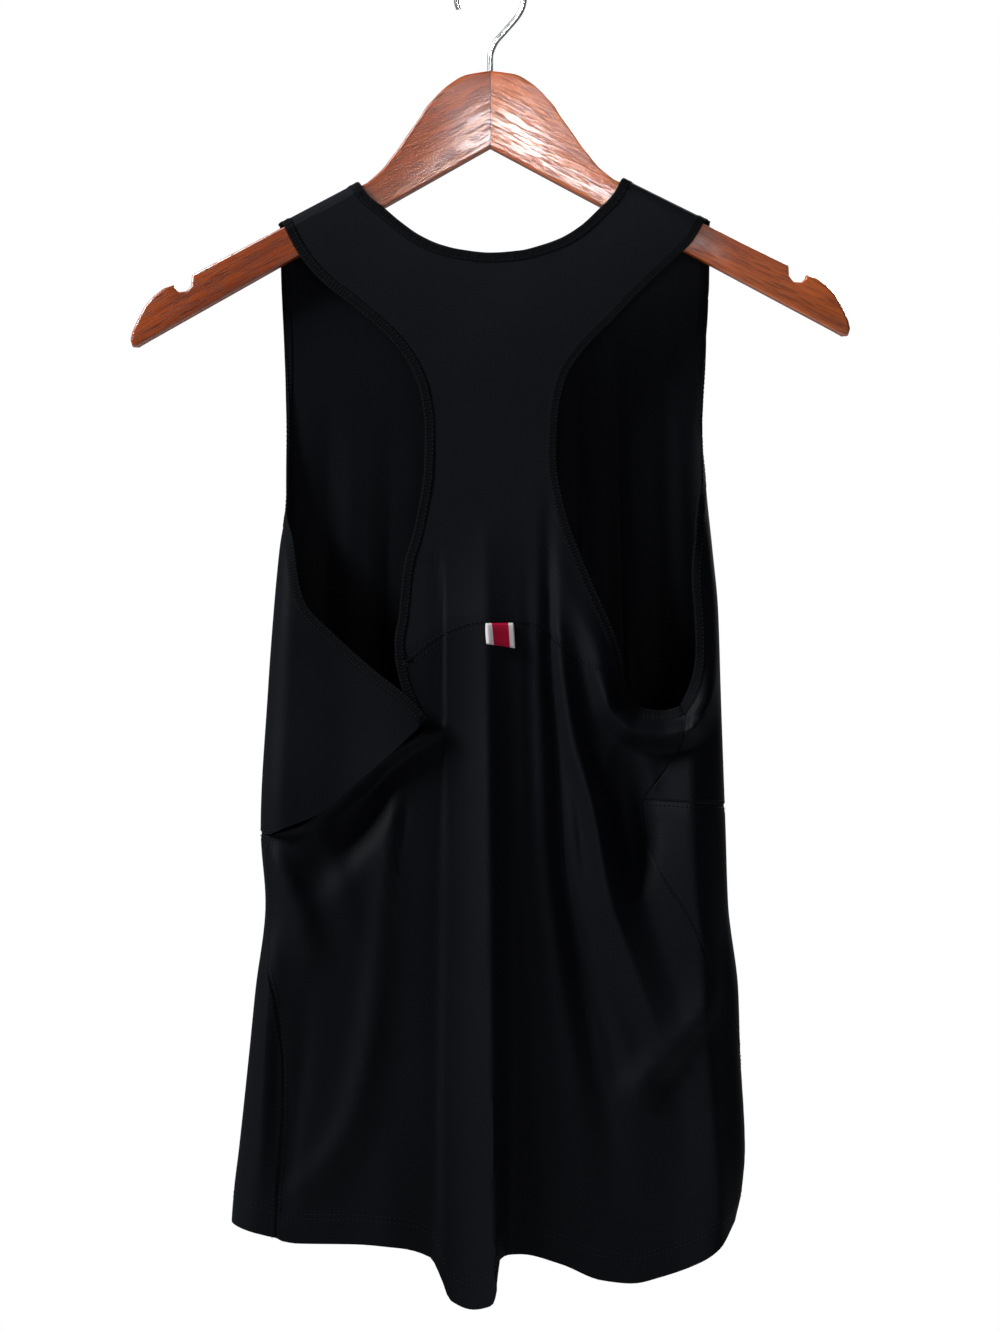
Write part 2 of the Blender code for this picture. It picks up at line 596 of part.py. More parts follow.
def on_ridge(surface, points):
    """Points moved down or up to the shoulder seam."""
    x = surface(points[..., 0], points[..., 1])[0]
    return np.stack([points[..., 0], ridge(x) - WRAP_EXTRA + GAP], axis=-1)


def from_left(points):
    """Points given across and down, as the distance round the garment from its left edge and the drop."""
    points = np.array(points, dtype=float)
    x, drop = points[:, 0], points[:, 1]
    return np.stack([unrolled(x - OUTLINE.at("left", drop), drop), drop], axis=1)


def from_right(points):
    """The same from the right edge."""
    points = np.array(points, dtype=float)
    x, drop = points[:, 0], points[:, 1]
    return np.stack([unrolled(OUTLINE.at("right", drop) - x, drop), drop], axis=1)


def past_right(line):
    """Distances inward of the right edge, as distances round from the left edge on the side that is near."""
    return np.stack([girth(line[:, 1]) - line[:, 0], line[:, 1]], axis=1)


def near_run(points):
    """Points of the back, given across and down, as the distance round from the left edge and the drop."""
    points = np.array(points, dtype=float)
    return np.where(points[:, :1] < 0, from_left(points), past_right(from_right(points)))


def seam_stations():
    x = BACK_COLUMNS.columns["top"]
    seam = along(YOKE_SEAM, 200)
    return np.stack([x, np.interp(x, seam[:, 0], seam[:, 1])], axis=1)


def yoke_charts():
    """The yoke's two grids, a fan from the neck's edge to the armholes' and the waist down to the seam."""
    left = moved(along([ridge_point(-131.4)] + list(YOKE_EDGE_LEFT[1:]), YOKE_ROWS), INSET)
    right = moved(along([ridge_point(136)] + list(YOKE_EDGE_RIGHT[1:]), YOKE_ROWS), -INSET)
    left[0], right[0] = on_ridge(yoke_surface, left[0]), on_ridge(yoke_surface, right[0])
    neck = [ridge_point(NECK_BACK[0][0])] + list(NECK_BACK[1:-1]) + [ridge_point(NECK_BACK[-1][0])]
    neck = moved(along(neck, NECK_STATIONS), -INSET)
    neck[[0, -1]] = on_ridge(yoke_surface, neck[[0, -1]])
    bottom = seam_stations() - (0, SEAM_GAP / 2)
    left[-1], right[-1] = bottom[0], bottom[-1]
    share = (bottom[:, :1] - bottom[0, 0]) / (bottom[-1, 0] - bottom[0, 0])
    waist = left[WAIST_ROW] + share * (right[WAIST_ROW] - left[WAIST_ROW])
    outer = joined(left[:WAIST_ROW + 1], waist, right[WAIST_ROW::-1])
    out = np.linspace(0, 1, FAN_ROWS + 1)[:, None, None]
    fan = neck + out * (outer - neck)
    low = patch(left[WAIST_ROW:], right[WAIST_ROW:], waist, bottom, 1)
    return fan, low, neck, left, right


def side_seams():
    """The back panel's side seams, as run and drop, in the stretches that the front's two panels share."""
    wrapped = [(girth(drop) + past, drop) for past, drop in SEAM_RIGHT_WRAP]
    right_lower = np.concatenate([near_run(SEAM_RIGHT_LOWER), wrapped])
    right_upper = along(near_run(SEAM_RIGHT_UPPER), UPPER_ROWS)
    return right_upper, along(right_lower, LOWER_ROWS), along(near_run(SEAM_LEFT), LOWER_ROWS)


def back_chart():
    right_upper, right_lower, left_lower = side_seams()
    armhole = moved(along(near_run(BACK_EDGE_LEFT), UPPER_ROWS - TUCK_ROWS), INSET)
    left = joined(armhole, along(near_run(TUCK), TUCK_ROWS), left_lower)
    right = joined(right_upper, right_lower)
    left[UPPER_ROWS:] = moved(left_lower, SEAM_GAP / 2)
    left[0] = near_run(seam_stations()[:1] + (0, SEAM_GAP / 2))[0]
    right = moved(right, -SEAM_GAP / 2)
    right[UPPER_ROWS - 2:UPPER_ROWS + 2, 0] -= 2 * GAP  # more room where three panels meet
    under_cowl = moved(along(near_run(COWL_STRETCH), COWL_CELLS), -INSET)
    under_cowl[-1] = right[0]
    top = joined(near_run(seam_stations() + (0, SEAM_GAP / 2)), under_cowl)
    hem = near_run(np.stack([BACK_COLUMNS.columns["hem"], 0 * BACK_COLUMNS.key + 715], axis=1))[:, 0]
    hem = np.concatenate([hem[:-1], np.linspace(hem[-1], right[-1][0], COWL_CELLS + 1)])
    across = back_surface(hem, np.full(len(hem), 715.0))[0]
    past = np.maximum(hem - girth(705), 0)
    bottom = np.stack([hem, HEM_BACK.at("drop", across) + 0.2 * past], axis=1)
    row = (shares(left) + shares(right))[:, None] / 2
    bend = right - right[0] - shares(right)[:, None] * (right[-1] - right[0])
    inner = top[SIDE_COLUMN] + row * (bottom[SIDE_COLUMN] - top[SIDE_COLUMN]) + 0.6 * bend
    middle = patch(left, inner, top[:SIDE_COLUMN + 1], bottom[:SIDE_COLUMN + 1], 3)
    side = relaxed(patch(inner, right, top[SIDE_COLUMN:], bottom[SIDE_COLUMN:], 1), SIDE_ROUNDS)
    return np.concatenate([middle, side[:, 1:]], axis=1)


def front_chart():
    right_upper, right_lower, _ = side_seams()
    left_points = np.concatenate([[(0, ridge_point(-131.4)[1])], [(0, drop) for drop in (126, 172, 222, 262)],
                                  from_left(FLAP_ARMHOLE) * (-1, 1)])
    left = joined(moved(along(left_points, FRONT_ROWS_LEFT), INSET),
                  along(from_left(FLAP_FOLD) * (-1, 1), FLAP_ROWS))
    right_points = np.concatenate([[(girth(90), ridge_point(136)[1])],
                                   [(girth(drop), drop) for drop in (126, 172, 218)],
                                   mirrored(from_right(RIGHT_ARMHOLE))])
    armhole = moved(along(right_points, FRONT_ROWS_RIGHT), -INSET)
    seam = moved(mirrored_seam(joined(right_upper, right_lower)), -SEAM_GAP / 2)[:UPPER_ROWS + 1]
    armhole[-1] = seam[0]
    right = joined(armhole, seam)
    neck = [ridge_point(NECK_FRONT[0][0])] + list(NECK_FRONT[1:-1]) + [ridge_point(NECK_FRONT[-1][0])]
    neck = moved(along(near_run(neck), FRONT_NECK_STATIONS), -INSET)
    neck[[0, -1]] = on_ridge(front_surface, neck[[0, -1]])
    left[0], right[0] = on_ridge(front_surface, left[0]), on_ridge(front_surface, right[0])
    left_strap = along((left[0], neck[0]), FRONT_STRAP_CELLS)
    right_strap = along((neck[-1], right[0]), FRONT_STRAP_CELLS)
    top = joined(left_strap, neck, right_strap)
    return spread(left, right, top, front_seam(left[-1], right[-1], top))


def mirrored(line):
    """Distances inward of the right edge, as distances round from the left edge over the front."""
    return np.stack([girth(line[:, 1]) + line[:, 0], line[:, 1]], axis=1)


def mirrored_seam(line):
    """A line of the back's chart, in the front's."""
    on_left = line[:, 0] < girth(line[:, 1]) / 2
    run = np.where(on_left, -line[:, 0], 2 * girth(line[:, 1]) - line[:, 0])
    return np.stack([run, line[:, 1]], axis=1)


def front_seam(start, end, like):
    """The seam across the front, between the two side seams."""
    share = np.linspace(0, 1, len(like))[:, None]
    return start + share * (end - start)


def skirt_chart(front):
    right_upper, right_lower, left_lower = side_seams()
    left = moved(mirrored_seam(left_lower), SEAM_GAP / 2)
    right = moved(mirrored_seam(joined(right_upper, right_lower)), -SEAM_GAP / 2)[UPPER_ROWS:]
    right[0] += (0, SEAM_GAP)
    top = front[-1] + (0, SEAM_GAP)
    share = np.linspace(0, 1, len(top))
    run = left[-1][0] + share * (right[-1][0] - left[-1][0])
    bottom = np.stack([run, HEM_FRONT.at("drop", share)], axis=1)
    return spread(left, right, top, bottom)


def hanger_outline():
    """Half of the hanger's wood, as half widths and drops."""
    crown = [(GAP / 2, 0)] + list(CROWN_LINE[1:])
    slope = (NOTCH_AND_END[-1][1] - ARCH_TOP) / NOTCH_AND_END[-1][0]
    return crown + list(NOTCH_AND_END) + [(GAP / 2, ARCH_TOP + slope * GAP / 2)]


def is_rounded(edge):
    """Whether an edge is one of the wood's long edges, away from the notch, the end and the middle joint."""
    start, end = (vertex.co * 1000 for vertex in edge.verts)
    flat = abs(start.y - end.y) < 0.01
    lies = [min(abs(start.x), abs(end.x)), max(abs(start.x), abs(end.x))]
    return flat and lies[1] - lies[0] > 0.5 and (lies[1] < 185 or abs(start.z - end.z) > 20)


def make_hanger_half(name, side, material, cutter):
    """One half of the wood, extruded from its outline, with rounded long edges except in the notch."""
    mesh = bmesh.new()
    corners = []
    for half_width, drop in hanger_outline():
        low = drop - side * half_width * math.tan(HANGER_TILT)
        corners.append(mesh.verts.new((side * half_width / 1000, -WOOD_THICK / 2000, (CROWN - low) / 1000)))
    face = mesh.faces.new(corners)
    far_side = bmesh.ops.extrude_face_region(mesh, geom=[face])["geom"]
    far_verts = [item for item in far_side if isinstance(item, bmesh.types.BMVert)]
    bmesh.ops.translate(mesh, verts=far_verts, vec=(0, WOOD_THICK / 1000, 0))
    bmesh.ops.recalc_face_normals(mesh, faces=mesh.faces)
    long_edges = [edge for edge in mesh.edges if is_rounded(edge)]
    bmesh.ops.bevel(mesh, geom=long_edges, offset=WOOD_ROUND / 1000, segments=2, profile=0.5, affect="EDGES",
                    material=-1, clamp_overlap=True)
    piece = finish(name, mesh, material)
    cut = piece.modifiers.new("hook bore", "BOOLEAN")
    cut.object = cutter
    return piece


def make_hook(material):
    """The wire hook: a stem from inside the wood, and most of a circle."""
    centre = WIRE / 2 - HOOK_RADIUS
    stem = [(0, CROWN - STEM_DEPTH), (0, CROWN), (0, CROWN + 9), (2.5, CROWN + 17), (9, CROWN + 25)]
    angles = np.radians(np.arange(-38, 205, 12))
    bow = [(HOOK_RADIUS * math.cos(a), centre + HOOK_RADIUS * math.sin(a)) for a in angles]
    data = bpy.data.curves.new("hook", "CURVE")
    data.dimensions = "3D"
    spline = data.splines.new("POLY")
    route = along(stem + bow, 56)
    spline.points.add(len(route) - 1)
    for point, (x, z) in zip(spline.points, route):
        point.co = (x / 1000, 0, z / 1000, 1)
    data.bevel_depth = WIRE / 2000
    data.bevel_resolution = 2
    data.use_fill_caps = True
    data.materials.append(material)
    piece = bpy.data.objects.new("hook", data)
    bpy.context.collection.objects.link(piece)


def make_bore_cutter():
    mesh = bmesh.new()
    bmesh.ops.create_cone(mesh, cap_ends=True, segments=12, radius1=(WIRE / 2 + 2 * GAP) / 1000,
                          radius2=(WIRE / 2 + 2 * GAP) / 1000, depth=(STEM_DEPTH + 12) / 1000)
    bmesh.ops.translate(mesh, verts=mesh.verts, vec=(0, 0, (CROWN - STEM_DEPTH / 2 + 5) / 1000))
    cutter = finish("bore cutter", mesh, bpy.data.materials.new("cutter"))
    cutter.hide_render = True
    cutter.display_type = "WIRE"
    return cutter


def underarm_cut(side):
    """The cut across the right armhole's binding where its two lengths meet, on either side of it."""
    seam, edge = np.array(SEAM_RIGHT_UPPER[0]), np.array(RIGHT_ARMHOLE[-1])
    across = np.array((seam[1] - edge[1], edge[0] - seam[0])) / np.hypot(*(seam - edge))
    return np.stack([seam + (edge - seam) * 0.06, edge]) + side * GAP * across


def make_label(material):
    """The woven tab that hangs from the middle of the yoke seam."""
    x, drop = np.meshgrid((-3.1, 1, 6, 10, 14.7), (343.2, 346.5, 350, 355.5))
    chart = np.stack([x, drop + 0.2 * (x + 3.1) * (drop > 351)], axis=-1)
    point, normal = placed(yoke_surface, chart, 1)
    return wall("label_tab", [(point + (2 * GAP + LABEL_THICK) * normal, point + 2 * GAP * normal)], material)


def main():
    for old in list(bpy.data.objects):
        bpy.data.objects.remove(old, do_unlink=True)
    mesh_cloth = finish_material("yoke cloth", (0.012, 0.015, 0.021), 0.7)
    jersey = finish_material("jersey", (0.009, 0.011, 0.014), 0.62)
    tape = finish_material("binding", (0.007, 0.008, 0.010), 0.75)
    woven = finish_material("woven label", (0.55, 0.02, 0.04), 0.8)
    wood = finish_material("stained wood", (0.22, 0.07, 0.03), 0.3)
    steel = finish_material("steel", (0.6, 0.6, 0.62), 0.25, 1.0)

    fan, waist, back_neck, yoke_left, yoke_right = yoke_charts()
    back, front = back_chart(), front_chart()
    panel("back_yoke", yoke_surface, [fan, waist], 1, mesh_cloth)
    panel("back_panel", back_surface, [back], 1, jersey)
    panel("front_panel", front_surface, [front], -1, jersey)
    panel("front_skirt", hem_surface, [skirt_chart(front)], -1, jersey)

    armhole_rows = UPPER_ROWS - TUCK_ROWS + 1
    left_tip = len(FRONT_ROWS_LEFT)
    right_end = len(FRONT_ROWS_RIGHT)
    front_neck = front[0, FRONT_STRAP_CELLS:FRONT_STRAP_CELLS + len(FRONT_NECK_STATIONS)]
    cowl_line = back[0, len(BACK_COLUMNS.key) - 1:]
    binding("neck_binding_back", [strip(yoke_surface, back_neck, 1, 1, (0, -1))], tape)
    binding("neck_binding_front", [strip(front_surface, front_neck, 1, -1, (0, -1))], tape)
    binding("armhole_binding_left_back",
            [strip(yoke_surface, yoke_left, -1, 1, (0,)),
             strip(back_surface, back[:armhole_rows, 0], -1, 1)], tape)
    binding("armhole_binding_left_front", [strip(front_surface, front[:left_tip, 0], -1, -1, (0,))], tape)
    binding("armhole_binding_right_back",
            [strip(yoke_surface, yoke_right, 1, 1, (0,)),
             strip(back_surface, cowl_line, 1, 1, end=near_run(underarm_cut(-1)))], tape)
    front_end = mirrored(from_right(underarm_cut(1)))
    binding("armhole_binding_right_front",
            [strip(front_surface, front[:right_end, -1], 1, -1, (0,), front_end)], tape)
    make_label(woven)

    cutter = make_bore_cutter()
    make_hanger_half("hanger_left", -1, wood, cutter)
    make_hanger_half("hanger_right", 1, wood, cutter)
    make_hook(steel)


if __name__ == "__main__":
    main()
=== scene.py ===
"""The looks of a running singlet that hangs by its straps from a wooden hanger, its back to the viewer.

Lengths are in millimetres until the last step, which turns them into metres. A point of the cloth is given
by its place across the garment, its depth and its drop, the height below the crown of the hanger's wood. A
panel is a grid on one smooth surface. Its chart gives each grid point as the distance round the garment and
the drop.
"""

import math

import bmesh
import bpy
import numpy as np
from mathutils import Matrix, Vector


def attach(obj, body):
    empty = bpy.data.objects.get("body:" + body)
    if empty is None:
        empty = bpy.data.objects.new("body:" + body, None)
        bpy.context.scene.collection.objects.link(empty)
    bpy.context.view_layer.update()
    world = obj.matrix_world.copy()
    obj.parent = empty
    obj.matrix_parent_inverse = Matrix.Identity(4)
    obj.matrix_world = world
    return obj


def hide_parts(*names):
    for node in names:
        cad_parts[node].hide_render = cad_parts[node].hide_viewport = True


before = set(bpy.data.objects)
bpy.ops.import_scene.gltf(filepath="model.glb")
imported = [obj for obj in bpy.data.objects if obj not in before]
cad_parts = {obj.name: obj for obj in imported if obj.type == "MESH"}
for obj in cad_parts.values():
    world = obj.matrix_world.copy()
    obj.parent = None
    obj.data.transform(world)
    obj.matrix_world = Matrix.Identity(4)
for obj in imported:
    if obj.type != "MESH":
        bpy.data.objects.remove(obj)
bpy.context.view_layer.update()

bl_info = {
    "name": "Running Singlet",
    "version": (1, 0, 0),
    "blender": (4, 5, 0),
    "location": "View3D > Sidebar > Singlet",
    "description": "Builds a running singlet on a wooden hanger, with its seams, bindings and stitching",
    "category": "Object",
}

# Driving dimensions
CROWN = -66.0  # height of the top of the hanger's wood, below the hang point
GAP = 0.12  # between the two shoulder seams' edges
CLOTH = 0.9  # the knit's thickness
BINDING_WIDTH = 6.0
WOOD_THICK = 12.0
WOOD_ROUND = 3.0  # radius of the wood's long edges
HANGER_TILT = math.radians(0.9)  # the wearer's right end hangs a little higher
WIRE = 3.6  # diameter of the hook's wire
HOOK_RADIUS = 21.0  # of the wire's middle line
STEM_DEPTH = 20.0  # how far the wire goes into the wood
STRAP_SLOPE = 0.511  # of the hanger's shoulders
STRAP_CLEAR = 2.2  # between the wood and the straps
STRAP_FOOT = 76.0  # half width at which the shoulders' straight upper edge starts
STRAP_FOOT_DROP = 68.0
STRAP_END = 145.0  # drop at which the front's straps have come down from the wood
SHOULDER_DROP = 90.0  # at the right strap's outer end
HEM_DROP = 715.0  # near which the hems hang
EPSILON = 0.4  # step for measuring a surface's slope
MERGE = 1e-6  # closeness at which points are one, in metres
CLOTH_CREASE, WOOD_CREASE = math.radians(78), math.radians(40)  # an edge that bends by more is drawn sharp
FINER = 4  # times as many rows and columns in a panel's grid as its lists of stations give

# The pleat's left step as a share of its height, and the groove beside it: depth, reach and first drop
PLEAT_STEP = 0.08
PLEAT_VALLEY = dict(depth=0.6, reach=8, top=300)
# The flap's swell, with its half width and length, and the lift of its tip, from x over a reach
FLAP_SWELL = dict(x=-104, wide=22, drop=408, long=34)
FLAP_TIP = dict(x=-98, reach=52, lift=6)
# The back's left border runs under the flap: between which drops, how soon it gets there and comes out, how
# far in from the border it stays and then sinks, and how far below the flap's plain depth it lies at most
UNDER_FLAP = dict(top=402, begin=10, end=474, stop=8, stay=2, sink=15, below=3)


class Table:
    """Rows of sizes with named columns, the first of which the others are read against."""

    def __init__(self, columns, *rows):
        names = columns.split()
        self.key = np.array([row[0] for row in rows], dtype=float)
        self.columns = {name: np.array([row[i] for row in rows], dtype=float) for i, name in enumerate(names)}

    def at(self, name, key):
        """The column's value at each key, on a smooth curve that never overshoots its rows."""
        values = self.columns[name]
        step = np.diff(self.key)
        rise = np.diff(values) / step
        slope = np.zeros(len(values))
        same_way = rise[:-1] * rise[1:] > 0
        between = 2 * rise[:-1] * rise[1:] / np.where(same_way, rise[:-1] + rise[1:], 1)
        slope[1:-1] = np.where(same_way, between, 0)
        slope[0], slope[-1] = rise[0], rise[-1]
        held = np.clip(key, self.key[0], self.key[-1])
        i = np.clip(np.searchsorted(self.key, held, side="right") - 1, 0, len(step) - 1)
        t = (held - self.key[i]) / step[i]
        start, end = values[i], values[i + 1]
        lift = step[i] * (t * (1 - t) ** 2 * slope[i] - t * t * (1 - t) * slope[i + 1])
        return start + (end - start) * t * t * (3 - 2 * t) + lift


def fold(*rows):
    """A ridge or, with a negative height, a trough: its place, height and reach to either side."""
    return Table("drop x height left right", *rows)


def finer(stations):
    """Stations with FINER steps in place of each one."""
    count = len(stations)
    return np.interp(np.linspace(0, count - 1, (count - 1) * FINER + 1), np.arange(count), stations)


# The hanging garment's outline from behind, with the depth and the radius of its rounded side edges
OUTLINE = Table("drop left right depth round",
    (60, -131.5, 136.5, 9.7, 2), (126, -130, 136, 9.7, 2), (172, -128, 134, 10, 2),
    (222, -126.5, 131.5, 9, 8), (262, -126.5, 134.5, 6, 12), (296, -131, 138, 5, 12),
    (334, -134.5, 141.5, 4, 13), (383, -138, 143, 3, 15), (470, -142.5, 146, 2, 16),
    (515, -139.5, 147.5, 2, 16), (569, -145.7, 153.8, 2, 17), (606, -149.4, 155, 2, 18),
    (668, -156, 158, 2, 18), (693, -159, 156, 2, 18), (718, -160.6, 151, 2, 18), (770, -160, 148, 2, 18))

# How far the back, the front and the folded flap stand from the hanger's middle plane, before folds
DEPTH = Table("drop back front flap",
    (60, 9.7, 9.7, 9.7), (145, 9.7, 9.7, 9.7), (200, 9.5, 11.5, 9), (262, 10, 15, 9.5),
    (300, 10.5, 18.5, 12), (350, 12, 23, 15.5), (400, 13, 26, 17), (450, 15, 29, 20), (600, 18, 33, 20),
    (770, 20, 36, 20))

# The back's box pleat: its left edge, its crest, its height, and the reach of its left step and right fall
PLEAT = Table("drop groove crest height step fall",
    (270, -28, -3, 0, 4, 20), (345, -28, -2, 4.5, 4, 18), (450, -28, -0.5, 9, 4, 16),
    (577, -29.5, 1, 13, 5, 14), (700, -30, 3, 16, 6, 10), (770, -29.5, 4, 17, 8, 5))

# Ridges, troughs and finer creases of the back, seen from behind
BACK_FOLDS = {
    "right ridge": fold((285, 41, 0, 6, 10), (352, 43, 5, 6, 12), (408, 50, 9, 8, 12),
        (457, 63, 13, 10, 18), (510, 73, 13, 14, 22), (545, 85, 11, 18, 22), (577, 97, 8, 20, 20),
        (600, 104, 3, 18, 16), (622, 106, 0, 16, 16)),
    "groove left of the right ridge": fold((250, 36.6, 0, 6, 5), (352, 36.6, -4, 8, 5),
        (426, 42, -6, 12, 6), (489, 45, -8, 14, 8), (540, 52, -8, 14, 12), (577, 59, -7, 16, 14),
        (620, 67, -5, 16, 14), (661, 74, -3, 18, 16), (710, 76, 0, 20, 20)),
    "left swag": fold((395, -56, 0, 10, 9), (436, -60, 2, 12, 10), (506, -63, 1.5, 14, 12),
        (577, -70, 2.5, 14, 14), (647, -82, 2.5, 14, 16), (678, -98, 2, 16, 18), (706, -116, 0, 16, 18)),
    "lip under the left hollow": fold((476, -136, 0, 8, 12), (490, -131, 5, 10, 12), (521, -117, 6, 14, 14),
        (560, -108, 0, 14, 14)),
    "left edge ridge": fold((520, -139, 0, 9, 9), (549, -137, 4, 9, 9), (600, -139, 5, 10, 9),
        (656, -141, 4, 12, 10), (700, -142, 0, 12, 12)),
    "right side": fold((330, 124, 0, 14, 20), (400, 124, 5, 16, 20), (460, 124, 10, 24, 20),
        (500, 126, 12, 40, 18), (540, 130, 13, 52, 16), (600, 133, 11, 42, 13), (625, 136, 8, 28, 11),
        (650, 138, 5, 20, 10), (700, 138, 0, 20, 10)),
    "hem flare on the right": fold((600, 130, 0, 20, 10), (690, 141, 6, 30, 9), (770, 143, 9, 32, 9)),
    "hem flare on the left": fold((640, -60, 0, 20, 20), (770, -64, 5, 26, 22)),
    "right arm of the hanging fold": fold((548, 146, 0, 26, 12), (575, 134, 4, 26, 13),
        (603, 113, 6, 24, 13), (626, 95, 6, 20, 12), (644, 88, 0, 16, 12)),
    "left of the hanging fold": fold((470, 48, 0, 7, 8), (540, 58, -3, 8, 9), (600, 74, -4, 9, 10),
        (650, 84, 0, 10, 12)),
    "long soft fold on the left": fold((440, -58, 0, 9, 8), (500, -62, 2, 12, 8), (570, -70, 2.5, 13, 9),
        (640, -84, 3, 14, 10), (666, -97, 3, 16, 13), (688, -114, 2.5, 18, 16), (704, -130, 0, 16, 16)),
    "light fold under the left hollow": fold((425, -121, 0, 5, 8), (450, -113, 1, 7, 11),
        (488, -98, 2.5, 12, 13), (515, -89, 2, 14, 13), (538, -82, 0, 12, 12)),
    "crease along the pleat's left foot": fold((300, -29, 0, 2.5, 2), (350, -29, -1.1, 3, 2),
        (450, -29.5, -1.3, 3, 2), (577, -31, -1.4, 3.5, 2.5), (690, -32, -1.2, 4, 3), (740, -32, 0, 4, 3)),
    "thin crease beside it": fold((440, -50, 0, 4, 4), (480, -57, -2.5, 5, 4), (540, -64, -2, 6, 5),
        (590, -70, 0, 6, 5)),
    "crease right of the pleat": fold((290, 22, 0, 6, 6), (360, 24, -1.6, 7, 6), (470, 27, -2.4, 9, 8),
        (600, 38, -2, 12, 12), (720, 46, 0, 14, 14)),
    "crease in the left side": fold((560, -112, 0, 8, 8), (620, -117, -2.5, 9, 8), (690, -126, -2, 9, 8),
        (720, -130, 0, 9, 8)),
}

# Soft vertical folds of the front
FRONT_FOLDS = {
    "far left": fold((200, -100, 0, 14, 14), (330, -103, 4, 14, 16), (770, -118, 9, 20, 24)),
    "left": fold((210, -62, 0, 12, 15), (420, -66, 4, 14, 18), (770, -72, 8, 22, 24)),
    "left of the middle": fold((260, -24, 0, 14, 14), (470, -26, 3, 16, 18), (770, -28, 9, 20, 18)),
    "right of the middle": fold((240, 14, 0, 12, 14), (430, 18, 4, 16, 14), (770, 22, 7, 22, 20)),
    "inner right": fold((170, 53, 0, 8, 8), (300, 55, 3, 10, 9), (770, 66, 8, 20, 18)),
    "right": fold((150, 78, 0, 9, 8), (300, 81, 4, 10, 10), (560, 94, 5, 18, 16), (770, 104, 10, 18, 20)),
    "far right": fold((150, 108, 0, 9, 8), (320, 112, 3, 11, 9), (600, 128, 0, 12, 10)),
}

# The right armhole's lower stretch, where the cloth sags in a cowl: its edge, and the cowl's height there
COWL_EDGE = ((56.4, 300), (68.2, 327.4), (78.7, 352.8), (83, 372.6), (86.8, 387.5), (93.6, 393.7),
             (106, 395.6), (114.7, 393.7), (122, 380), (126.5, 360), (126, 330))
COWL_HEIGHT = (0, 3, 7, 10, 13, 14, 14, 12, 8, 4, 0)
COWL_CREST = 16.0  # from the armhole's edge to the top of the roll
COWL_FALL = 11.0

# Hollows that the folded sides leave in the back: centre, half length, half width, lean and depth
RIGHT_HOLLOW = dict(x=86, drop=464, long=54, wide=19, lean=math.radians(-4), depth=11)
LEFT_HOLLOW = dict(x=-84, drop=462, long=64, wide=22, lean=math.radians(30), depth=9)

# Finished edges and seams. A row is a point: across, drop
YOKE_EDGE_LEFT = ((-131.4, 0), (-119, 113), (-103, 132), (-87, 144.5), (-59.5, 169), (-48.4, 185.4),
                  (-42.8, 201.5), (-40.3, 221.3), (-41, 248.6), (-44, 269), (-48.4, 289.5), (-52.7, 303),
                  (-54.8, 320), (-56.5, 338), (-59, 352), (-59, 362))
YOKE_EDGE_RIGHT = ((136, 0), (124, 107), (112, 119), (90, 140), (75, 156), (58.3, 173), (46.5, 192),
                   (42, 215), (41, 238), (47, 273.4), (56.4, 300), (68.2, 327.4), (78.7, 352.8), (83, 371))
NECK_BACK = ((-83.7, 0), (-75.6, 77.5), (-66.3, 84.7), (-55.8, 93.6), (-43.4, 102.3), (-31, 107.9),
             (-18.6, 111), (0, 113), (18.6, 111.6), (31, 108.5), (43.4, 104), (55.8, 96.4), (66, 87),
             (76.5, 76), (83.7, 0))
NECK_FRONT = ((-83.7, 0), (-78.5, 76), (-75, 95), (-69, 115), (-57, 137), (-38, 155), (0, 165), (38, 155),
              (57, 137), (69, 115), (75, 95), (78.5, 74), (83.7, 0))
YOKE_SEAM = ((-60, 366), (-50, 364.6), (-37.6, 355.6), (-26.7, 348.8), (-10.5, 343.5), (0, 342.5),
             (16.7, 342), (30.4, 344.5), (38, 352), (50.6, 363), (62, 369), (74, 373), (84, 374))
COWL_STRETCH = ((83, 375), (86.8, 387.5), (93.6, 393.7), (106, 395.6), (114.7, 393.7))
BACK_EDGE_LEFT = ((-59, 364), (-57.7, 370), (-54, 384), (-47, 400), (-45, 406))
TUCK = ((-39, 407), (-44, 411), (-60, 420), (-73, 430), (-90, 445), (-104, 457.5), (-116, 466.5),
        (-124, 469.5), (-135.5, 473))
FLAP_ARMHOLE = ((-121.5, 289.5), (-117, 319), (-113, 330.5), (-96, 348.4), (-72, 370), (-47, 390),
                (-38.4, 400))
FLAP_FOLD = ((-42.6, 404.7), (-56.4, 418), (-66, 426.6), (-84, 442), (-100.4, 456.5), (-112, 462.5),
             (-121, 465.8), (-135.5, 472))
RIGHT_ARMHOLE = ((131, 240), (128, 270), (126, 288), (124.6, 321), (126, 339), (126.5, 360), (124, 376),
                 (117, 392.5))
SEAM_RIGHT_UPPER = ((119.5, 398.5), (118.5, 412), (109, 431), (94, 451))
SEAM_RIGHT_LOWER = ((94, 451), (96, 476), (103.5, 493), (124.6, 526.4), (139, 563), (146, 585))
SEAM_RIGHT_WRAP = ((1, 610), (8, 640), (24, 705))  # past the garment's right edge, drop
SEAM_LEFT = ((-135.5, 473), (-138, 492), (-137.5, 532), (-131, 585), (-128, 613), (-129, 660), (-132, 720))
HEM_BACK = Table("across drop",
    (-161, 709), (-149, 716), (-136, 720), (-118, 723.5), (-81, 724), (-56, 726), (-37, 732), (-31, 743),
    (-25, 758), (-12, 763), (0, 759.5), (3, 752), (6.5, 731), (18.6, 730), (43, 736), (68, 746), (87, 748),
    (105, 744), (124, 737), (142.6, 725), (158, 699))
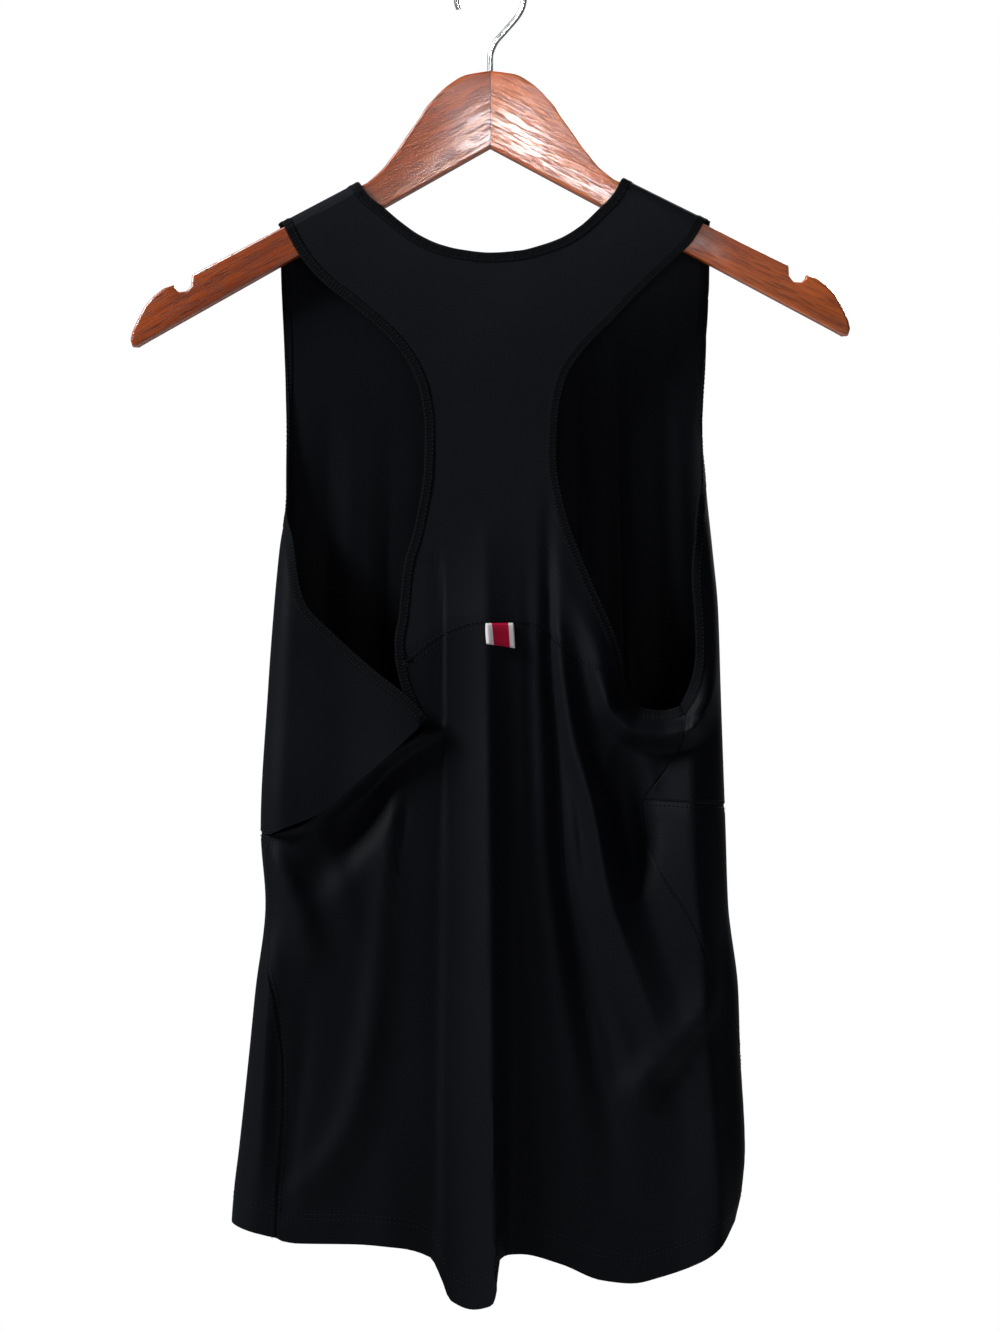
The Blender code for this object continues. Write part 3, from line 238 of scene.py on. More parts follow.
HEM_FRONT = Table("share drop",
    (0, 720), (0.12, 712), (0.3, 716), (0.5, 719), (0.75, 718), (0.92, 706), (1, 705))

# The panels' grids. The back's columns are given across at the yoke seam and at the hem, and follow the folds
BACK_TOP, BACK_HEM = map(finer, zip(*(
    (-52.7, -132), (-47.5, -116), (-42, -98), (-36, -78), (-32.5, -56), (-29.5, -37), (-26.5, -27),
    (-20.5, -18), (-14.5, -8), (-8.7, 1), (1, 6), (10, 16), (19, 30), (28, 46), (36.6, 62), (43, 78),
    (50.6, 94), (62, 108), (76.3, 120))))
NECK_STATIONS = finer(np.concatenate([(0, 3, 6, 9), np.linspace(12, 191, 37), (194, 197, 200, 203)]))
YOKE_ROWS = finer((0, 3, 6, 9, 12, 18, 27, 38, 50, 63, 77, 92, 108, 125, 142, 160, 178, 196, 214, 232, 250,
                   268))
FRONT_NECK_STATIONS = finer((0, 3.5, 7, 10.5, 14, 25, 40, 56, 74, 94, 114, 136, 158, 178, 198, 216, 232,
                             247, 258, 261.5, 265, 268.5, 272))
FRONT_ROWS_LEFT = finer((0, 3, 6, 9, 12, 24, 44, 66, 90, 116, 142, 166, 190, 212, 234, 256, 276, 294, 310,
                         325, 340))
FRONT_ROWS_RIGHT = finer((0, 3, 6, 9, 12, 24, 44, 70, 94, 112, 126, 137, 147, 158, 170, 184, 202, 222, 246,
                          271, 296))
WAIST_ROW = 13 * FINER  # of YOKE_ROWS, where the yoke is narrowest
FAN_ROWS = 4 * FINER  # of the yoke, from the neck out to the armholes
COWL_CELLS = 7 * FINER
SIDE_COLUMN = 17 * FINER  # the back panel's grid follows its right side seam from this column on
SIDE_ROUNDS = 40 * FINER ** 2  # of evening out that part of the grid
SIDE_BEND = 0.6  # share of the side seam's bend that this column has
HEM_SLOPE = 0.2  # of the back's hem past the right edge
SIDES_LEFT, SIDES_RIGHT = (126, 172, 222, 262), (126, 172, 218)  # drops of the front's rounded sides
CUT_START = 0.06  # of the right binding's cut, as a share of the way from the seam to the edge
LINE_STEPS, CROWN_STEPS = 200, 60  # of the yoke seam's and the hook's smooth lines, and of the crown's
UPPER_ROWS = 12 * FINER  # of the back panel, down to where the lower front begins
LOWER_ROWS = 13 * FINER
FLAP_ROWS = 12 * FINER
TUCK_ROWS = 8 * FINER
# The front's columns round a side edge, by their distance from it
EDGE_RUNS = finer((-108, -94, -80, -66, -52, -38, -27, -19, -12, -5, 2, 9, 17, 25, 34, 43))[:-1]
CLOSEST = 1.6 / FINER  # between two of the front's columns

# The hanger's outline from its middle: half width and drop, along the top and round the end
CROWN_LINE = ((0, 0), (15.5, 2.5), (24.5, 7.4), (30.7, 12.4), (35.6, 17.4), (40, 22.3), (43, 27.3),
              (46.5, 32.2), (50, 37.2), (53.3, 42), (56.7, 47), (61.4, 53), (67, 60),
              (STRAP_FOOT, STRAP_FOOT_DROP))
NOTCH_AND_END = ((184.5, 123.5), (185, 130), (188, 133.5), (192.5, 134), (195, 131.5), (195.6, 129.5),
                 (202, 131.5), (208, 136), (213.5, 142), (217.6, 149.5), (221.5, 158), (222.6, 163),
                 (221.5, 167), (218, 167.2), (211, 163.2))
ARCH_TOP = 47.5  # drop of the hanger's underside at the middle


def smooth(q):
    """A soft step from 0 to 1."""
    q = np.clip(q, 0, 1)
    return q * q * (3 - 2 * q)


def crest(offset, left, right):
    """A ridge's section: 1 on its crest, falling to 0 at its reach on either side."""
    q = np.clip(np.abs(offset) / np.where(offset < 0, left, right), 0, 1)
    return (1 - q) ** 1.5 * (1 + 0.5 * q)


def folds(table_set, x, drop):
    """The height that a set of folds adds at each point."""
    total = np.zeros(np.shape(x))
    for each in table_set.values():
        inside = (drop >= each.key[0]) & (drop <= each.key[-1])
        section = crest(x - each.at("x", drop), each.at("left", drop), each.at("right", drop))
        total = total + np.where(inside, each.at("height", drop) * section, 0)
    return total


def pleat(x, drop):
    """The box pleat down the middle of the back: a step at its left, a rising face, a crest and a fall."""
    groove, top, step = PLEAT.at("groove", drop), PLEAT.at("crest", drop), PLEAT.at("step", drop)
    rise = np.clip((x - groove) / (top - groove), 0, 1)
    face = PLEAT_STEP * smooth((x - groove + step) / step) + (1 - PLEAT_STEP) * rise ** 2
    fall = (1 - np.clip((x - top) / PLEAT.at("fall", drop), 0, 1)) ** 1.4
    valley = PLEAT_VALLEY["depth"] * crest(x - groove + step, PLEAT_VALLEY["reach"], step)
    below = drop > PLEAT_VALLEY["top"]
    return PLEAT.at("height", drop) * np.where(x < top, face, fall) - np.where(below, valley, 0)


def cowl(x, drop):
    """The roll of cloth that sags round the right armhole's lower end."""
    nearest = np.full(np.shape(x), 1e9)
    height = np.zeros(np.shape(x))
    for (x0, d0), (x1, d1), h0, h1 in zip(COWL_EDGE, COWL_EDGE[1:], COWL_HEIGHT, COWL_HEIGHT[1:]):
        length2 = (x1 - x0) ** 2 + (d1 - d0) ** 2
        t = np.clip(((x - x0) * (x1 - x0) + (drop - d0) * (d1 - d0)) / length2, 0, 1)
        away = np.hypot(x - x0 - t * (x1 - x0), drop - d0 - t * (d1 - d0))
        height = np.where(away < nearest, h0 + (h1 - h0) * t, height)
        nearest = np.minimum(nearest, away)
    roll = np.where(nearest < COWL_CREST, smooth(nearest / COWL_CREST),
                    (1 - np.clip((nearest - COWL_CREST) / COWL_FALL, 0, 1)) ** 1.3)
    return height * roll


def hollow(shape, x, drop):
    """A soft oval hollow's depth."""
    across, down = x - shape["x"], drop - shape["drop"]
    along = down * math.cos(shape["lean"]) - across * math.sin(shape["lean"])
    aside = across * math.cos(shape["lean"]) + down * math.sin(shape["lean"])
    q = np.clip((along / shape["long"]) ** 2 + (aside / shape["wide"]) ** 2, 0, 1)
    return shape["depth"] * (1 - q) ** 1.6


def back_layer(x, drop):
    """Depth of the back's outer face."""
    height = DEPTH.at("back", drop) + folds(BACK_FOLDS, x, drop) + pleat(x, drop) + cowl(x, drop)
    return hollow(RIGHT_HOLLOW, x, drop) + hollow(LEFT_HOLLOW, x, drop) - height


def front_layer(x, drop):
    """Depth of the front's outer face."""
    return DEPTH.at("front", drop) + folds(FRONT_FOLDS, x, drop)


def flap_layer(x, drop):
    """Depth of the left side where it is folded over the back."""
    across = (x - FLAP_SWELL["x"]) / FLAP_SWELL["wide"]
    down = (drop - FLAP_SWELL["drop"]) / FLAP_SWELL["long"]
    lift = FLAP_TIP["lift"] * smooth((x - FLAP_TIP["x"]) / FLAP_TIP["reach"])
    return -DEPTH.at("flap", drop) - np.exp(-across ** 2 - down ** 2) - lift


def wrapped_layer(x, drop):
    """The front panel where it comes round: the flap on the left, the back's own face on the right."""
    return np.where(x < 0, flap_layer(x, drop), back_layer(x, drop))


def tucked_layer(x, drop):
    """The back panel's face, rising at its left border to the underside of the flap."""
    border = np.interp(drop, [point[1] for point in TUCK], [point[0] for point in TUCK])
    size = UNDER_FLAP
    under = smooth((drop - size["top"]) / size["begin"]) * smooth((size["end"] - drop) / size["stop"])
    share = under * (1 - smooth((x - border - size["stay"]) / size["sink"]))
    lowest = -DEPTH.at("flap", drop) - size["below"]
    meeting = np.maximum(flap_layer(x, drop), lowest) + CLOTH + 2.5 * GAP
    return back_layer(x, drop) * (1 - share) + meeting * share


def girth(drop):
    """Developed width of one side, from the left edge to the right."""
    bend = (math.pi - 2) * OUTLINE.at("round", drop)
    return OUTLINE.at("right", drop) - OUTLINE.at("left", drop) + bend


def unrolled(inward, drop):
    """Distance along the cloth from a rounded side edge to the point that lies so far inward of it."""
    radius = OUTLINE.at("round", drop)
    bent = radius * np.arccos(np.clip(1 - np.maximum(inward, 0) / radius, -1, 1))
    return np.where(inward < radius, bent, radius * math.pi / 2 + inward - radius)


def body(near, far, run, drop):
    """A point at the distance run round the garment from its left edge, as across, depth, drop."""
    radius, width = OUTLINE.at("round", drop), girth(drop)
    on_right = run > width / 2
    reach = np.where(on_right, width - run, run)
    turn = np.minimum(np.abs(reach) / radius, math.pi / 2)
    inward = radius * (1 - np.cos(turn)) + np.maximum(np.abs(reach) - radius * math.pi / 2, 0)
    x = np.where(on_right, OUTLINE.at("right", drop) - inward, OUTLINE.at("left", drop) + inward)
    layer = np.where(reach >= 0, near(x, drop), far(x, drop))
    edge = OUTLINE.at("depth", drop)
    return x, edge + np.sin(turn) * (layer - edge), drop


def ridge(x):
    """Drop of the line along which the straps cross the hanger, on the cloth's outer face."""
    wood = STRAP_FOOT_DROP + STRAP_SLOPE * (np.abs(x) - STRAP_FOOT) - x * math.tan(HANGER_TILT)
    return wood - (STRAP_CLEAR + CLOTH) * math.hypot(1, STRAP_SLOPE)


WRAP_FLAT = WOOD_THICK / 2 - WOOD_ROUND
WRAP_RADIUS = WOOD_ROUND + STRAP_CLEAR + CLOTH
WRAP_EXTRA = WRAP_FLAT + WRAP_RADIUS * (math.pi / 2 - 1)  # cloth taken up by bending over the wood


def over_hanger(side, face, x, drop):
    """A point of a strap: it bends over the hanger's rounded top, then hangs down on that side."""
    past = drop - ridge(x) + WRAP_EXTRA
    turn = np.clip((past - WRAP_FLAT) / WRAP_RADIUS, 0, math.pi / 2)
    bent = np.minimum(past, WRAP_FLAT) + WRAP_RADIUS * np.sin(turn)
    hanging = past > WRAP_FLAT + WRAP_RADIUS * math.pi / 2
    depth = np.where(hanging, face, side * bent)
    return depth, np.where(hanging, drop, ridge(x) + WRAP_RADIUS * (1 - np.cos(turn)))


def yoke_surface(x, drop):
    """The yoke with the back's straps, by place across and drop."""
    depth, low = over_hanger(-1, back_layer(x, drop), x, drop)
    return x, depth, low


def back_surface(run, drop):
    """The back panel, by distance round and drop, like the two below."""
    return body(tucked_layer, front_layer, run, drop)


def front_surface(run, drop):
    """The front with its straps and the sides that it is folded round."""
    x, face, _ = body(front_layer, wrapped_layer, run, drop)
    depth, low = over_hanger(1, face, x, drop)
    high = drop < STRAP_END
    return x, np.where(high, depth, face), np.where(high, low, drop)


def hem_surface(run, drop):
    """The lower front."""
    return body(front_layer, back_layer, run, drop)


def chart_line(run, drop):
    """A line of a chart's points from their runs and their drops."""
    return np.stack(np.broadcast_arrays(run, drop), axis=1)


def lengths(line):
    """The length of a line up to each of its points."""
    steps = np.linalg.norm(np.diff(np.asarray(line, dtype=float), axis=0), axis=1)
    return np.concatenate([[0], np.cumsum(steps)])


def along(points, stations):
    """Points on a smooth curve through the given ones, at a number of even steps or at given lengths."""
    points = np.array(points, dtype=float)
    length = lengths(points)
    curve = Table("length x drop", *zip(length, points[:, 0], points[:, 1]))
    if np.ndim(stations) == 0:
        stations = np.linspace(0, length[-1], stations + 1)
    else:
        stations = np.array(stations) * length[-1] / stations[-1]
    return chart_line(curve.at("x", stations), curve.at("drop", stations))


def moved(line, distance):
    """A line of points moved sideways, to its left for a positive distance."""
    way = np.gradient(line, axis=0)
    way /= np.linalg.norm(way, axis=1, keepdims=True)
    return line + distance * chart_line(way[:, 1], -way[:, 0])


def joined(*lines):
    """One line from several, each starting where the last one ends."""
    return np.concatenate([lines[0]] + [line[1:] for line in lines[1:]])


def shares(line):
    """How far along a line each of its points lies, from 0 to 1."""
    length = lengths(line)
    return length / length[-1]


def bend(line, share):
    """How far a line's points lie from their places at those shares of the straight line between its ends."""
    return line - line[0] - share * (line[-1] - line[0])


def patch(left, right, top, bottom, fade):
    """A grid between four borders. The side borders' bends fade with the distance from them."""
    top, bottom = np.array(top), np.array(bottom)
    top[[0, -1]] = left[0], right[0]
    bottom[[0, -1]] = left[-1], right[-1]
    s = np.linspace(0, 1, len(top))[None, :, None]
    t = (shares(left) + shares(right))[:, None] / 2
    grid = (1 - t[:, None]) * top[None] + t[:, None] * bottom[None]
    return grid + (1 - s) ** fade * bend(left, t)[:, None] + s ** fade * bend(right, t)[:, None]


def relaxed(grid, rounds):
    """A grid with its inner points evened out, so that none of its cells folds over, and its borders kept."""
    grid = np.array(grid)
    for _ in range(rounds):
        across = (grid[1:-1, 2:] - grid[1:-1, :-2]) / 2
        down = (grid[2:, 1:-1] - grid[:-2, 1:-1]) / 2
        wide = (down ** 2).sum(axis=-1, keepdims=True)
        high = (across ** 2).sum(axis=-1, keepdims=True)
        skew = (across * down).sum(axis=-1, keepdims=True)
        twist = (grid[2:, 2:] - grid[2:, :-2] - grid[:-2, 2:] + grid[:-2, :-2]) / 2
        beside = wide * (grid[1:-1, 2:] + grid[1:-1, :-2]) + high * (grid[2:, 1:-1] + grid[:-2, 1:-1])
        grid[1:-1, 1:-1] = (beside - skew * twist) / (2 * (wide + high))
    return grid


def spread(left, right, top, bottom):
    """A patch whose columns keep their places round the two side edges, and are even between them."""
    grid = patch(left, right, top, bottom, 1)
    run, drop = grid[..., 0], grid[..., 1]
    edge = len(EDGE_RUNS)
    step = CLOSEST * np.arange(edge)
    first = np.maximum(EDGE_RUNS, run[:, :1] + step)
    last = np.minimum(girth(drop[:, -edge:]) - EDGE_RUNS[::-1], run[:, -1:] - step[::-1])
    start, end = first[:, -1:], last[:, :1]
    like_top = (run[:1, edge:-edge] - start[:1]) / (end[:1] - start[:1])
    even = np.linspace(0, 1, like_top.shape[1] + 2)[None, 1:-1]
    down = shares(left)[:, None]
    middle = start + ((1 - down) * like_top + down * even) * (end - start)
    new_run = np.concatenate([first, middle, last], axis=1)
    new_drop = np.stack([np.interp(places, *line.T) for places, line in zip(new_run, grid)])
    return np.stack([new_run, new_drop], axis=-1)


def placed(surface, chart, out):
    """The chart's points on the surface, and the surface's outward direction at each."""
    a, b = chart[..., 0], chart[..., 1]
    point = np.stack(surface(a, b), axis=-1)
    ahead = np.stack(surface(a + EPSILON, b), axis=-1) - point
    behind = point - np.stack(surface(a - EPSILON, b), axis=-1)
    turns_back = np.linalg.norm(ahead + behind, axis=-1, keepdims=True) < EPSILON / 2
    towards_middle = np.where(ahead[..., :1] > behind[..., :1], ahead, behind)
    da = np.where(turns_back, towards_middle, ahead + behind)
    db = np.stack(surface(a, b + EPSILON), axis=-1) - np.stack(surface(a, b - EPSILON), axis=-1)
    normal = out * np.cross(da, db)
    return point, normal / np.linalg.norm(normal, axis=-1, keepdims=True)


def metres(points):
    """Across, depth and drop in millimetres, as X, Y and Z in metres."""
    points = np.asarray(points, dtype=float)
    return np.stack([points[..., 0], points[..., 1], CROWN - points[..., 2]], axis=-1) / 1000


def ridge_point(x):
    """Where the cloth over x starts, at the shoulder seam on the ridge, in drop before it is bent."""
    return (x, float(ridge(x)) - WRAP_EXTRA + GAP)


def from_ridge(line, *ends):
    """A line's points, with its ends of the given indices at the shoulder seam."""
    line = list(line)
    for end in ends:
        line[end] = ridge_point(line[end][0])
    return line


def on_ridge(surface, points):
    """Points moved down or up to the shoulder seam."""
    x = surface(points[..., 0], points[..., 1])[0]
    return np.stack([points[..., 0], ridge(x) - WRAP_EXTRA + GAP], axis=-1)


def from_edge(points, edge):
    """Points given across and down, as the distance along the cloth from a side edge and the drop."""
    x, drop = np.array(points, dtype=float).T
    inward = x - OUTLINE.at(edge, drop) if edge == "left" else OUTLINE.at(edge, drop) - x
    return chart_line(unrolled(inward, drop), drop)


def round_right(line, way):
    """Distances from the right edge, as distances from the left: over the back for -1, the front for 1."""
    return chart_line(girth(line[:, 1]) + way * line[:, 0], line[:, 1])


def near_run(points):
    """Points of the back, given across and down, as the distance round from the left edge and the drop."""
    points = np.array(points, dtype=float)
    return np.where(points[:, :1] < 0, from_edge(points, "left"), round_right(from_edge(points, "right"), -1))


def seam_stations():
    """The yoke seam's points at the back panel's columns."""
    seam = along(YOKE_SEAM, LINE_STEPS)
    return chart_line(BACK_TOP, np.interp(BACK_TOP, *seam.T))


def yoke_charts():
    """The yoke's two grids, a fan from the neck's edge to the armholes' and the waist down to the seam."""
    left = moved(along(from_ridge(YOKE_EDGE_LEFT, 0), YOKE_ROWS), BINDING_WIDTH)
    right = moved(along(from_ridge(YOKE_EDGE_RIGHT, 0), YOKE_ROWS), -BINDING_WIDTH)
    left[0], right[0] = on_ridge(yoke_surface, left[0]), on_ridge(yoke_surface, right[0])
    neck = moved(along(from_ridge(NECK_BACK, 0, -1), NECK_STATIONS), -BINDING_WIDTH)
    neck[[0, -1]] = on_ridge(yoke_surface, neck[[0, -1]])
    bottom = seam_stations()
    left[-1], right[-1] = bottom[0], bottom[-1]
    share = (bottom[:, :1] - bottom[0, 0]) / (bottom[-1, 0] - bottom[0, 0])
    waist = left[WAIST_ROW] + share * (right[WAIST_ROW] - left[WAIST_ROW])
    outer = joined(left[:WAIST_ROW + 1], waist, right[WAIST_ROW::-1])
    out = np.linspace(0, 1, FAN_ROWS + 1)[:, None, None]
    fan = neck + out * (outer - neck)
    low = patch(left[WAIST_ROW:], right[WAIST_ROW:], waist, bottom, 1)
    return fan, low, neck, left, right


def side_seams():
    """The back panel's side seams, as run and drop, in the stretches that the front's two panels share."""
    wrapped = [(girth(drop) + past, drop) for past, drop in SEAM_RIGHT_WRAP]
    right_lower = np.concatenate([near_run(SEAM_RIGHT_LOWER), wrapped])
    right_upper = along(near_run(SEAM_RIGHT_UPPER), UPPER_ROWS)
    return right_upper, along(right_lower, LOWER_ROWS), along(near_run(SEAM_LEFT), LOWER_ROWS)


def back_chart():
    """The back panel's grid, whose right columns follow its side seam."""
    right_upper, right_lower, left_lower = side_seams()
    armhole = moved(along(near_run(BACK_EDGE_LEFT), UPPER_ROWS - TUCK_ROWS), BINDING_WIDTH)
    left = joined(armhole, along(near_run(TUCK), TUCK_ROWS), left_lower)
    right = joined(right_upper, right_lower)
    seam = near_run(seam_stations())
    left[0] = seam[0]
    under_cowl = moved(along(near_run(COWL_STRETCH), COWL_CELLS), -BINDING_WIDTH)
    under_cowl[-1] = right[0]
    top = joined(seam, under_cowl)
    hem = near_run(chart_line(BACK_HEM, HEM_DROP))[:, 0]
    hem = np.concatenate([hem[:-1], np.linspace(hem[-1], right[-1][0], COWL_CELLS + 1)])
    across = back_surface(hem, np.full(len(hem), HEM_DROP))[0]
    past = np.maximum(hem - girth(SEAM_RIGHT_WRAP[-1][1]), 0)
    bottom = chart_line(hem, HEM_BACK.at("drop", across) + HEM_SLOPE * past)
    row = (shares(left) + shares(right))[:, None] / 2
    inner = top[SIDE_COLUMN] + row * (bottom[SIDE_COLUMN] - top[SIDE_COLUMN])
    inner = inner + SIDE_BEND * bend(right, shares(right)[:, None])
    middle = patch(left, inner, top[:SIDE_COLUMN + 1], bottom[:SIDE_COLUMN + 1], 3)
    side = relaxed(patch(inner, right, top[SIDE_COLUMN:], bottom[SIDE_COLUMN:], 1), SIDE_ROUNDS)
    return np.concatenate([middle, side[:, 1:]], axis=1)


def front_chart():
    """The front panel's grid, from the shoulders down, round the flap on its left, to its right side seam."""
    right_upper, right_lower, _ = side_seams()
    left_points = [(0, ridge_point(YOKE_EDGE_LEFT[0][0])[1])] + [(0, drop) for drop in SIDES_LEFT]
    left_points = np.concatenate([left_points, from_edge(FLAP_ARMHOLE, "left") * (-1, 1)])
    left = joined(moved(along(left_points, FRONT_ROWS_LEFT), BINDING_WIDTH),
                  along(from_edge(FLAP_FOLD, "left") * (-1, 1), FLAP_ROWS))
    right_points = [(girth(SHOULDER_DROP), ridge_point(YOKE_EDGE_RIGHT[0][0])[1])]
    right_points += [(girth(drop), drop) for drop in SIDES_RIGHT]
    right_points = np.concatenate([right_points, round_right(from_edge(RIGHT_ARMHOLE, "right"), 1)])
    armhole = moved(along(right_points, FRONT_ROWS_RIGHT), -BINDING_WIDTH)
    seam = mirrored_seam(joined(right_upper, right_lower))[:UPPER_ROWS + 1]
    armhole[-1] = seam[0]
    right = joined(armhole, seam)
    neck = moved(along(near_run(from_ridge(NECK_FRONT, 0, -1)), FRONT_NECK_STATIONS), -BINDING_WIDTH)
    neck[[0, -1]] = on_ridge(front_surface, neck[[0, -1]])
    left[0], right[0] = on_ridge(front_surface, left[0]), on_ridge(front_surface, right[0])
    left_strap = along((left[0], neck[0]), len(EDGE_RUNS))
    right_strap = along((neck[-1], right[0]), len(EDGE_RUNS))
    top = joined(left_strap, neck, right_strap)
    bottom = left[-1] + np.linspace(0, 1, len(top))[:, None] * (right[-1] - left[-1])
    return spread(left, right, top, bottom)


def mirrored_seam(line):
    """A line of the back's chart, in the front's."""
    on_left = line[:, 0] < girth(line[:, 1]) / 2
    run = np.where(on_left, -line[:, 0], 2 * girth(line[:, 1]) - line[:, 0])
    return chart_line(run, line[:, 1])


def skirt_chart(front):
    """The lower front's grid, under the front's."""
    right_upper, right_lower, left_lower = side_seams()
    left = mirrored_seam(left_lower)
    right = mirrored_seam(joined(right_upper, right_lower))[UPPER_ROWS:]
    top = front[-1]
    share = np.linspace(0, 1, len(top))
    run = left[-1][0] + share * (right[-1][0] - left[-1][0])
    bottom = chart_line(run, HEM_FRONT.at("drop", share))
    chart = spread(left, right, top, bottom)
    chart[0, 1:] = top[1:]
    return chart


def underarm_cut(side):
    """The cut across the right armhole's binding where its two lengths meet, on either side of it."""
    seam, edge = np.array(SEAM_RIGHT_UPPER[0]), np.array(RIGHT_ARMHOLE[-1])
    across = np.array((seam[1] - edge[1], edge[0] - seam[0])) / np.hypot(*(seam - edge))
    return np.stack([seam + (edge - seam) * CUT_START, edge]) + side * GAP * across


# Bindings and stitches
BINDING_FACE = 0.45  # how far the tape's folded faces stand out from the cloth
# Across the tape from its inner edge, and the height there as a share of BINDING_FACE
TAPE_SECTION = ((-0.5, 0.05), (-0.25, 0.35), (0.4, 1.0), (2.0, 0.9), (3.4, 0.8), (4.8, 0.9), (6.2, 1.0),
                (6.75, 0.6), (6.9, -0.2))
TAPE_WIDE = TAPE_SECTION[-1][0]
PUCKER = 0.12  # share by which the stitches pull the tape in and out
PUCKER_PITCH = 5.8
SEAM_DIP = 0.7  # how far the cloth is pulled in along a seam
STITCH_PITCH = 2.9
STITCH_LONG = 2.1
STITCH_WIDE = 0.5
STITCH_FLAT = 0.8  # a stitch's height, as a share of its width
STITCH_AIM = 0.5  # a stitch points from so far before it on the line to so far after it
TAPE_STITCHES = (1.1, 5.0)  # from the tape's inner edge
STITCH_SUNK = 0.95  # height of the tape's stitches, as a share of its face's
SEAM_STITCHES = 2.2  # from a seam
HEM_STITCHES = (15.0, 18.0)  # above the hem
STITCH_HIGH = 0.05  # over the cloth

# The woven tab's left end, width, columns, drop at its seam, sideways lean, fall to the right and weave
TAB = dict(left=-2.6, wide=17.0, columns=19, drop=343.4, lean=0.05, fall=0.012, weave=1.9)
# The folded ribbon from its seam: drop and height off the yoke, down its front and up its back
TAB_SECTION = ((-1.5, 0.5), (0, 1.25), (2, 1.7), (5, 2.0), (8, 2.3), (10.6, 2.7), (11.6, 2.7), (12.0, 2.3),
               (11.6, 1.8), (10.4, 1.6), (8, 1.3), (5, 1.1), (2, 0.75), (0, 0.35), (-1.5, 0.5))

# The hook's stem, above the hanger's crown, and the angles that its round runs through
HOOK_STEM = ((0, -STEM_DEPTH), (0, 0), (0, 9), (2.5, 17), (9, 25))
HOOK_ROUND = np.radians(np.arange(-38, 205, 12))

# The stage, in metres
FLOOR_RADIUS = 1.7
FLOOR_HEIGHT = -1.5
CAMERA_PLACE = (0.006, -2.4, -0.434)
VIEW_HIGH = 0.825  # height of what the camera sees where the singlet hangs

MULTIPLIED = {"data_type": "RGBA", "blend_type": "MULTIPLY"}


def linear(colour):
    """A colour's sRGB hex value as linear RGBA."""
    parts = [int(colour[i:i + 2], 16) / 255 for i in (1, 3, 5)]
    return [c / 12.92 if c <= 0.04045 else ((c + 0.055) / 1.055) ** 2.4 for c in parts] + [1]


def node(tree, kind, settings=None, inputs=None, stops=()):
    """A node added to a material, with its settings, its inputs and its colour stops.

    An input is a value or, for a link, the node and the output that it comes from.
    """
    new = tree.nodes.new("ShaderNode" + kind)
    for key, value in (settings or {}).items():
        setattr(new, key, value)
    for key, value in (inputs or {}).items():
        if isinstance(value, tuple) and isinstance(value[0], bpy.types.Node):
            tree.links.new(value[0].outputs[value[1]], new.inputs[key])
        else:
            new.inputs[key].default_value = value
    for i, (place, colour) in enumerate(stops):
        if i == len(new.color_ramp.elements):
            new.color_ramp.elements.new(1)
        new.color_ramp.elements[i].position = place
        new.color_ramp.elements[i].color = linear(colour) if isinstance(colour, str) else colour
    return new


def new_material(name, **values):
    """A material with its Principled shader's constant values set."""
    material = bpy.data.materials.new(name)
    material.use_nodes = True
    shader = material.node_tree.nodes["Principled BSDF"]
    for key, value in values.items():
        shader.inputs[key.replace("_", " ")].default_value = value
    return material, material.node_tree, shader


def dressed(tree, shader, colour, relief=None, strength=0.0, depth=0.0, normals=("Normal",)):
    """Joins a colour and a relief, each a node and its output, to a material's shader."""
    tree.links.new(colour[0].outputs[colour[1]], shader.inputs["Base Color"])
    if relief:
        bump = node(tree, "Bump", None, {"Strength": strength, "Distance": depth, "Height": relief})
        for socket in normals:
            tree.links.new(bump.outputs["Normal"], shader.inputs[socket])


def jersey(name, light, roughness, sheen):
    """Circular-knit polyester jersey, dyed black and brushed on neither face.

    Its fine smooth loops give the eye an even, nearly black cloth with a low satin light along the folds.
    """
    material, tree, shader = new_material(
        name, Roughness=roughness, Sheen_Weight=sheen, Sheen_Roughness=0.45, Sheen_Tint=linear("#A6B4CC"),
        IOR=1.45, Specular_IOR_Level=0.06)
    flat = {"Vector": (node(tree, "UVMap"), "UV")}
    # wales 1.8 mm apart and courses 1.4 mm apart: a real knit's are 0.6 mm, too fine to show
    wale = node(tree, "TexWave", {"bands_direction": "X"}, {"Scale": 175, "Distortion": 0.4, **flat})
    course = node(tree, "TexWave", {"bands_direction": "Y"}, {"Scale": 225, "Distortion": 0.6, **flat})
    loops = node(tree, "Math", {"operation": "MULTIPLY"}, {0: (wale, "Fac"), 1: (course, "Fac")})
    cloud = node(tree, "TexNoise", None, {"Scale": 9, "Detail": 3, **flat})
    dark = [share * 0.7 for share in light[:3]] + [1]
    tone = node(tree, "ValToRGB", None, {"Fac": (cloud, "Fac")}, ((0.3, dark), (0.7, list(light))))
    # the loops darken the colour between them: painted shade in the knit's gaps
    with_painted_shade = node(tree, "Mix", MULTIPLIED, {"Factor": 0.35, "A": (tone, "Color"), "B": (loops, "Value")})
    dressed(tree, shader, (with_painted_shade, "Result"), (loops, "Value"), 0.25, 0.0002)
    return material


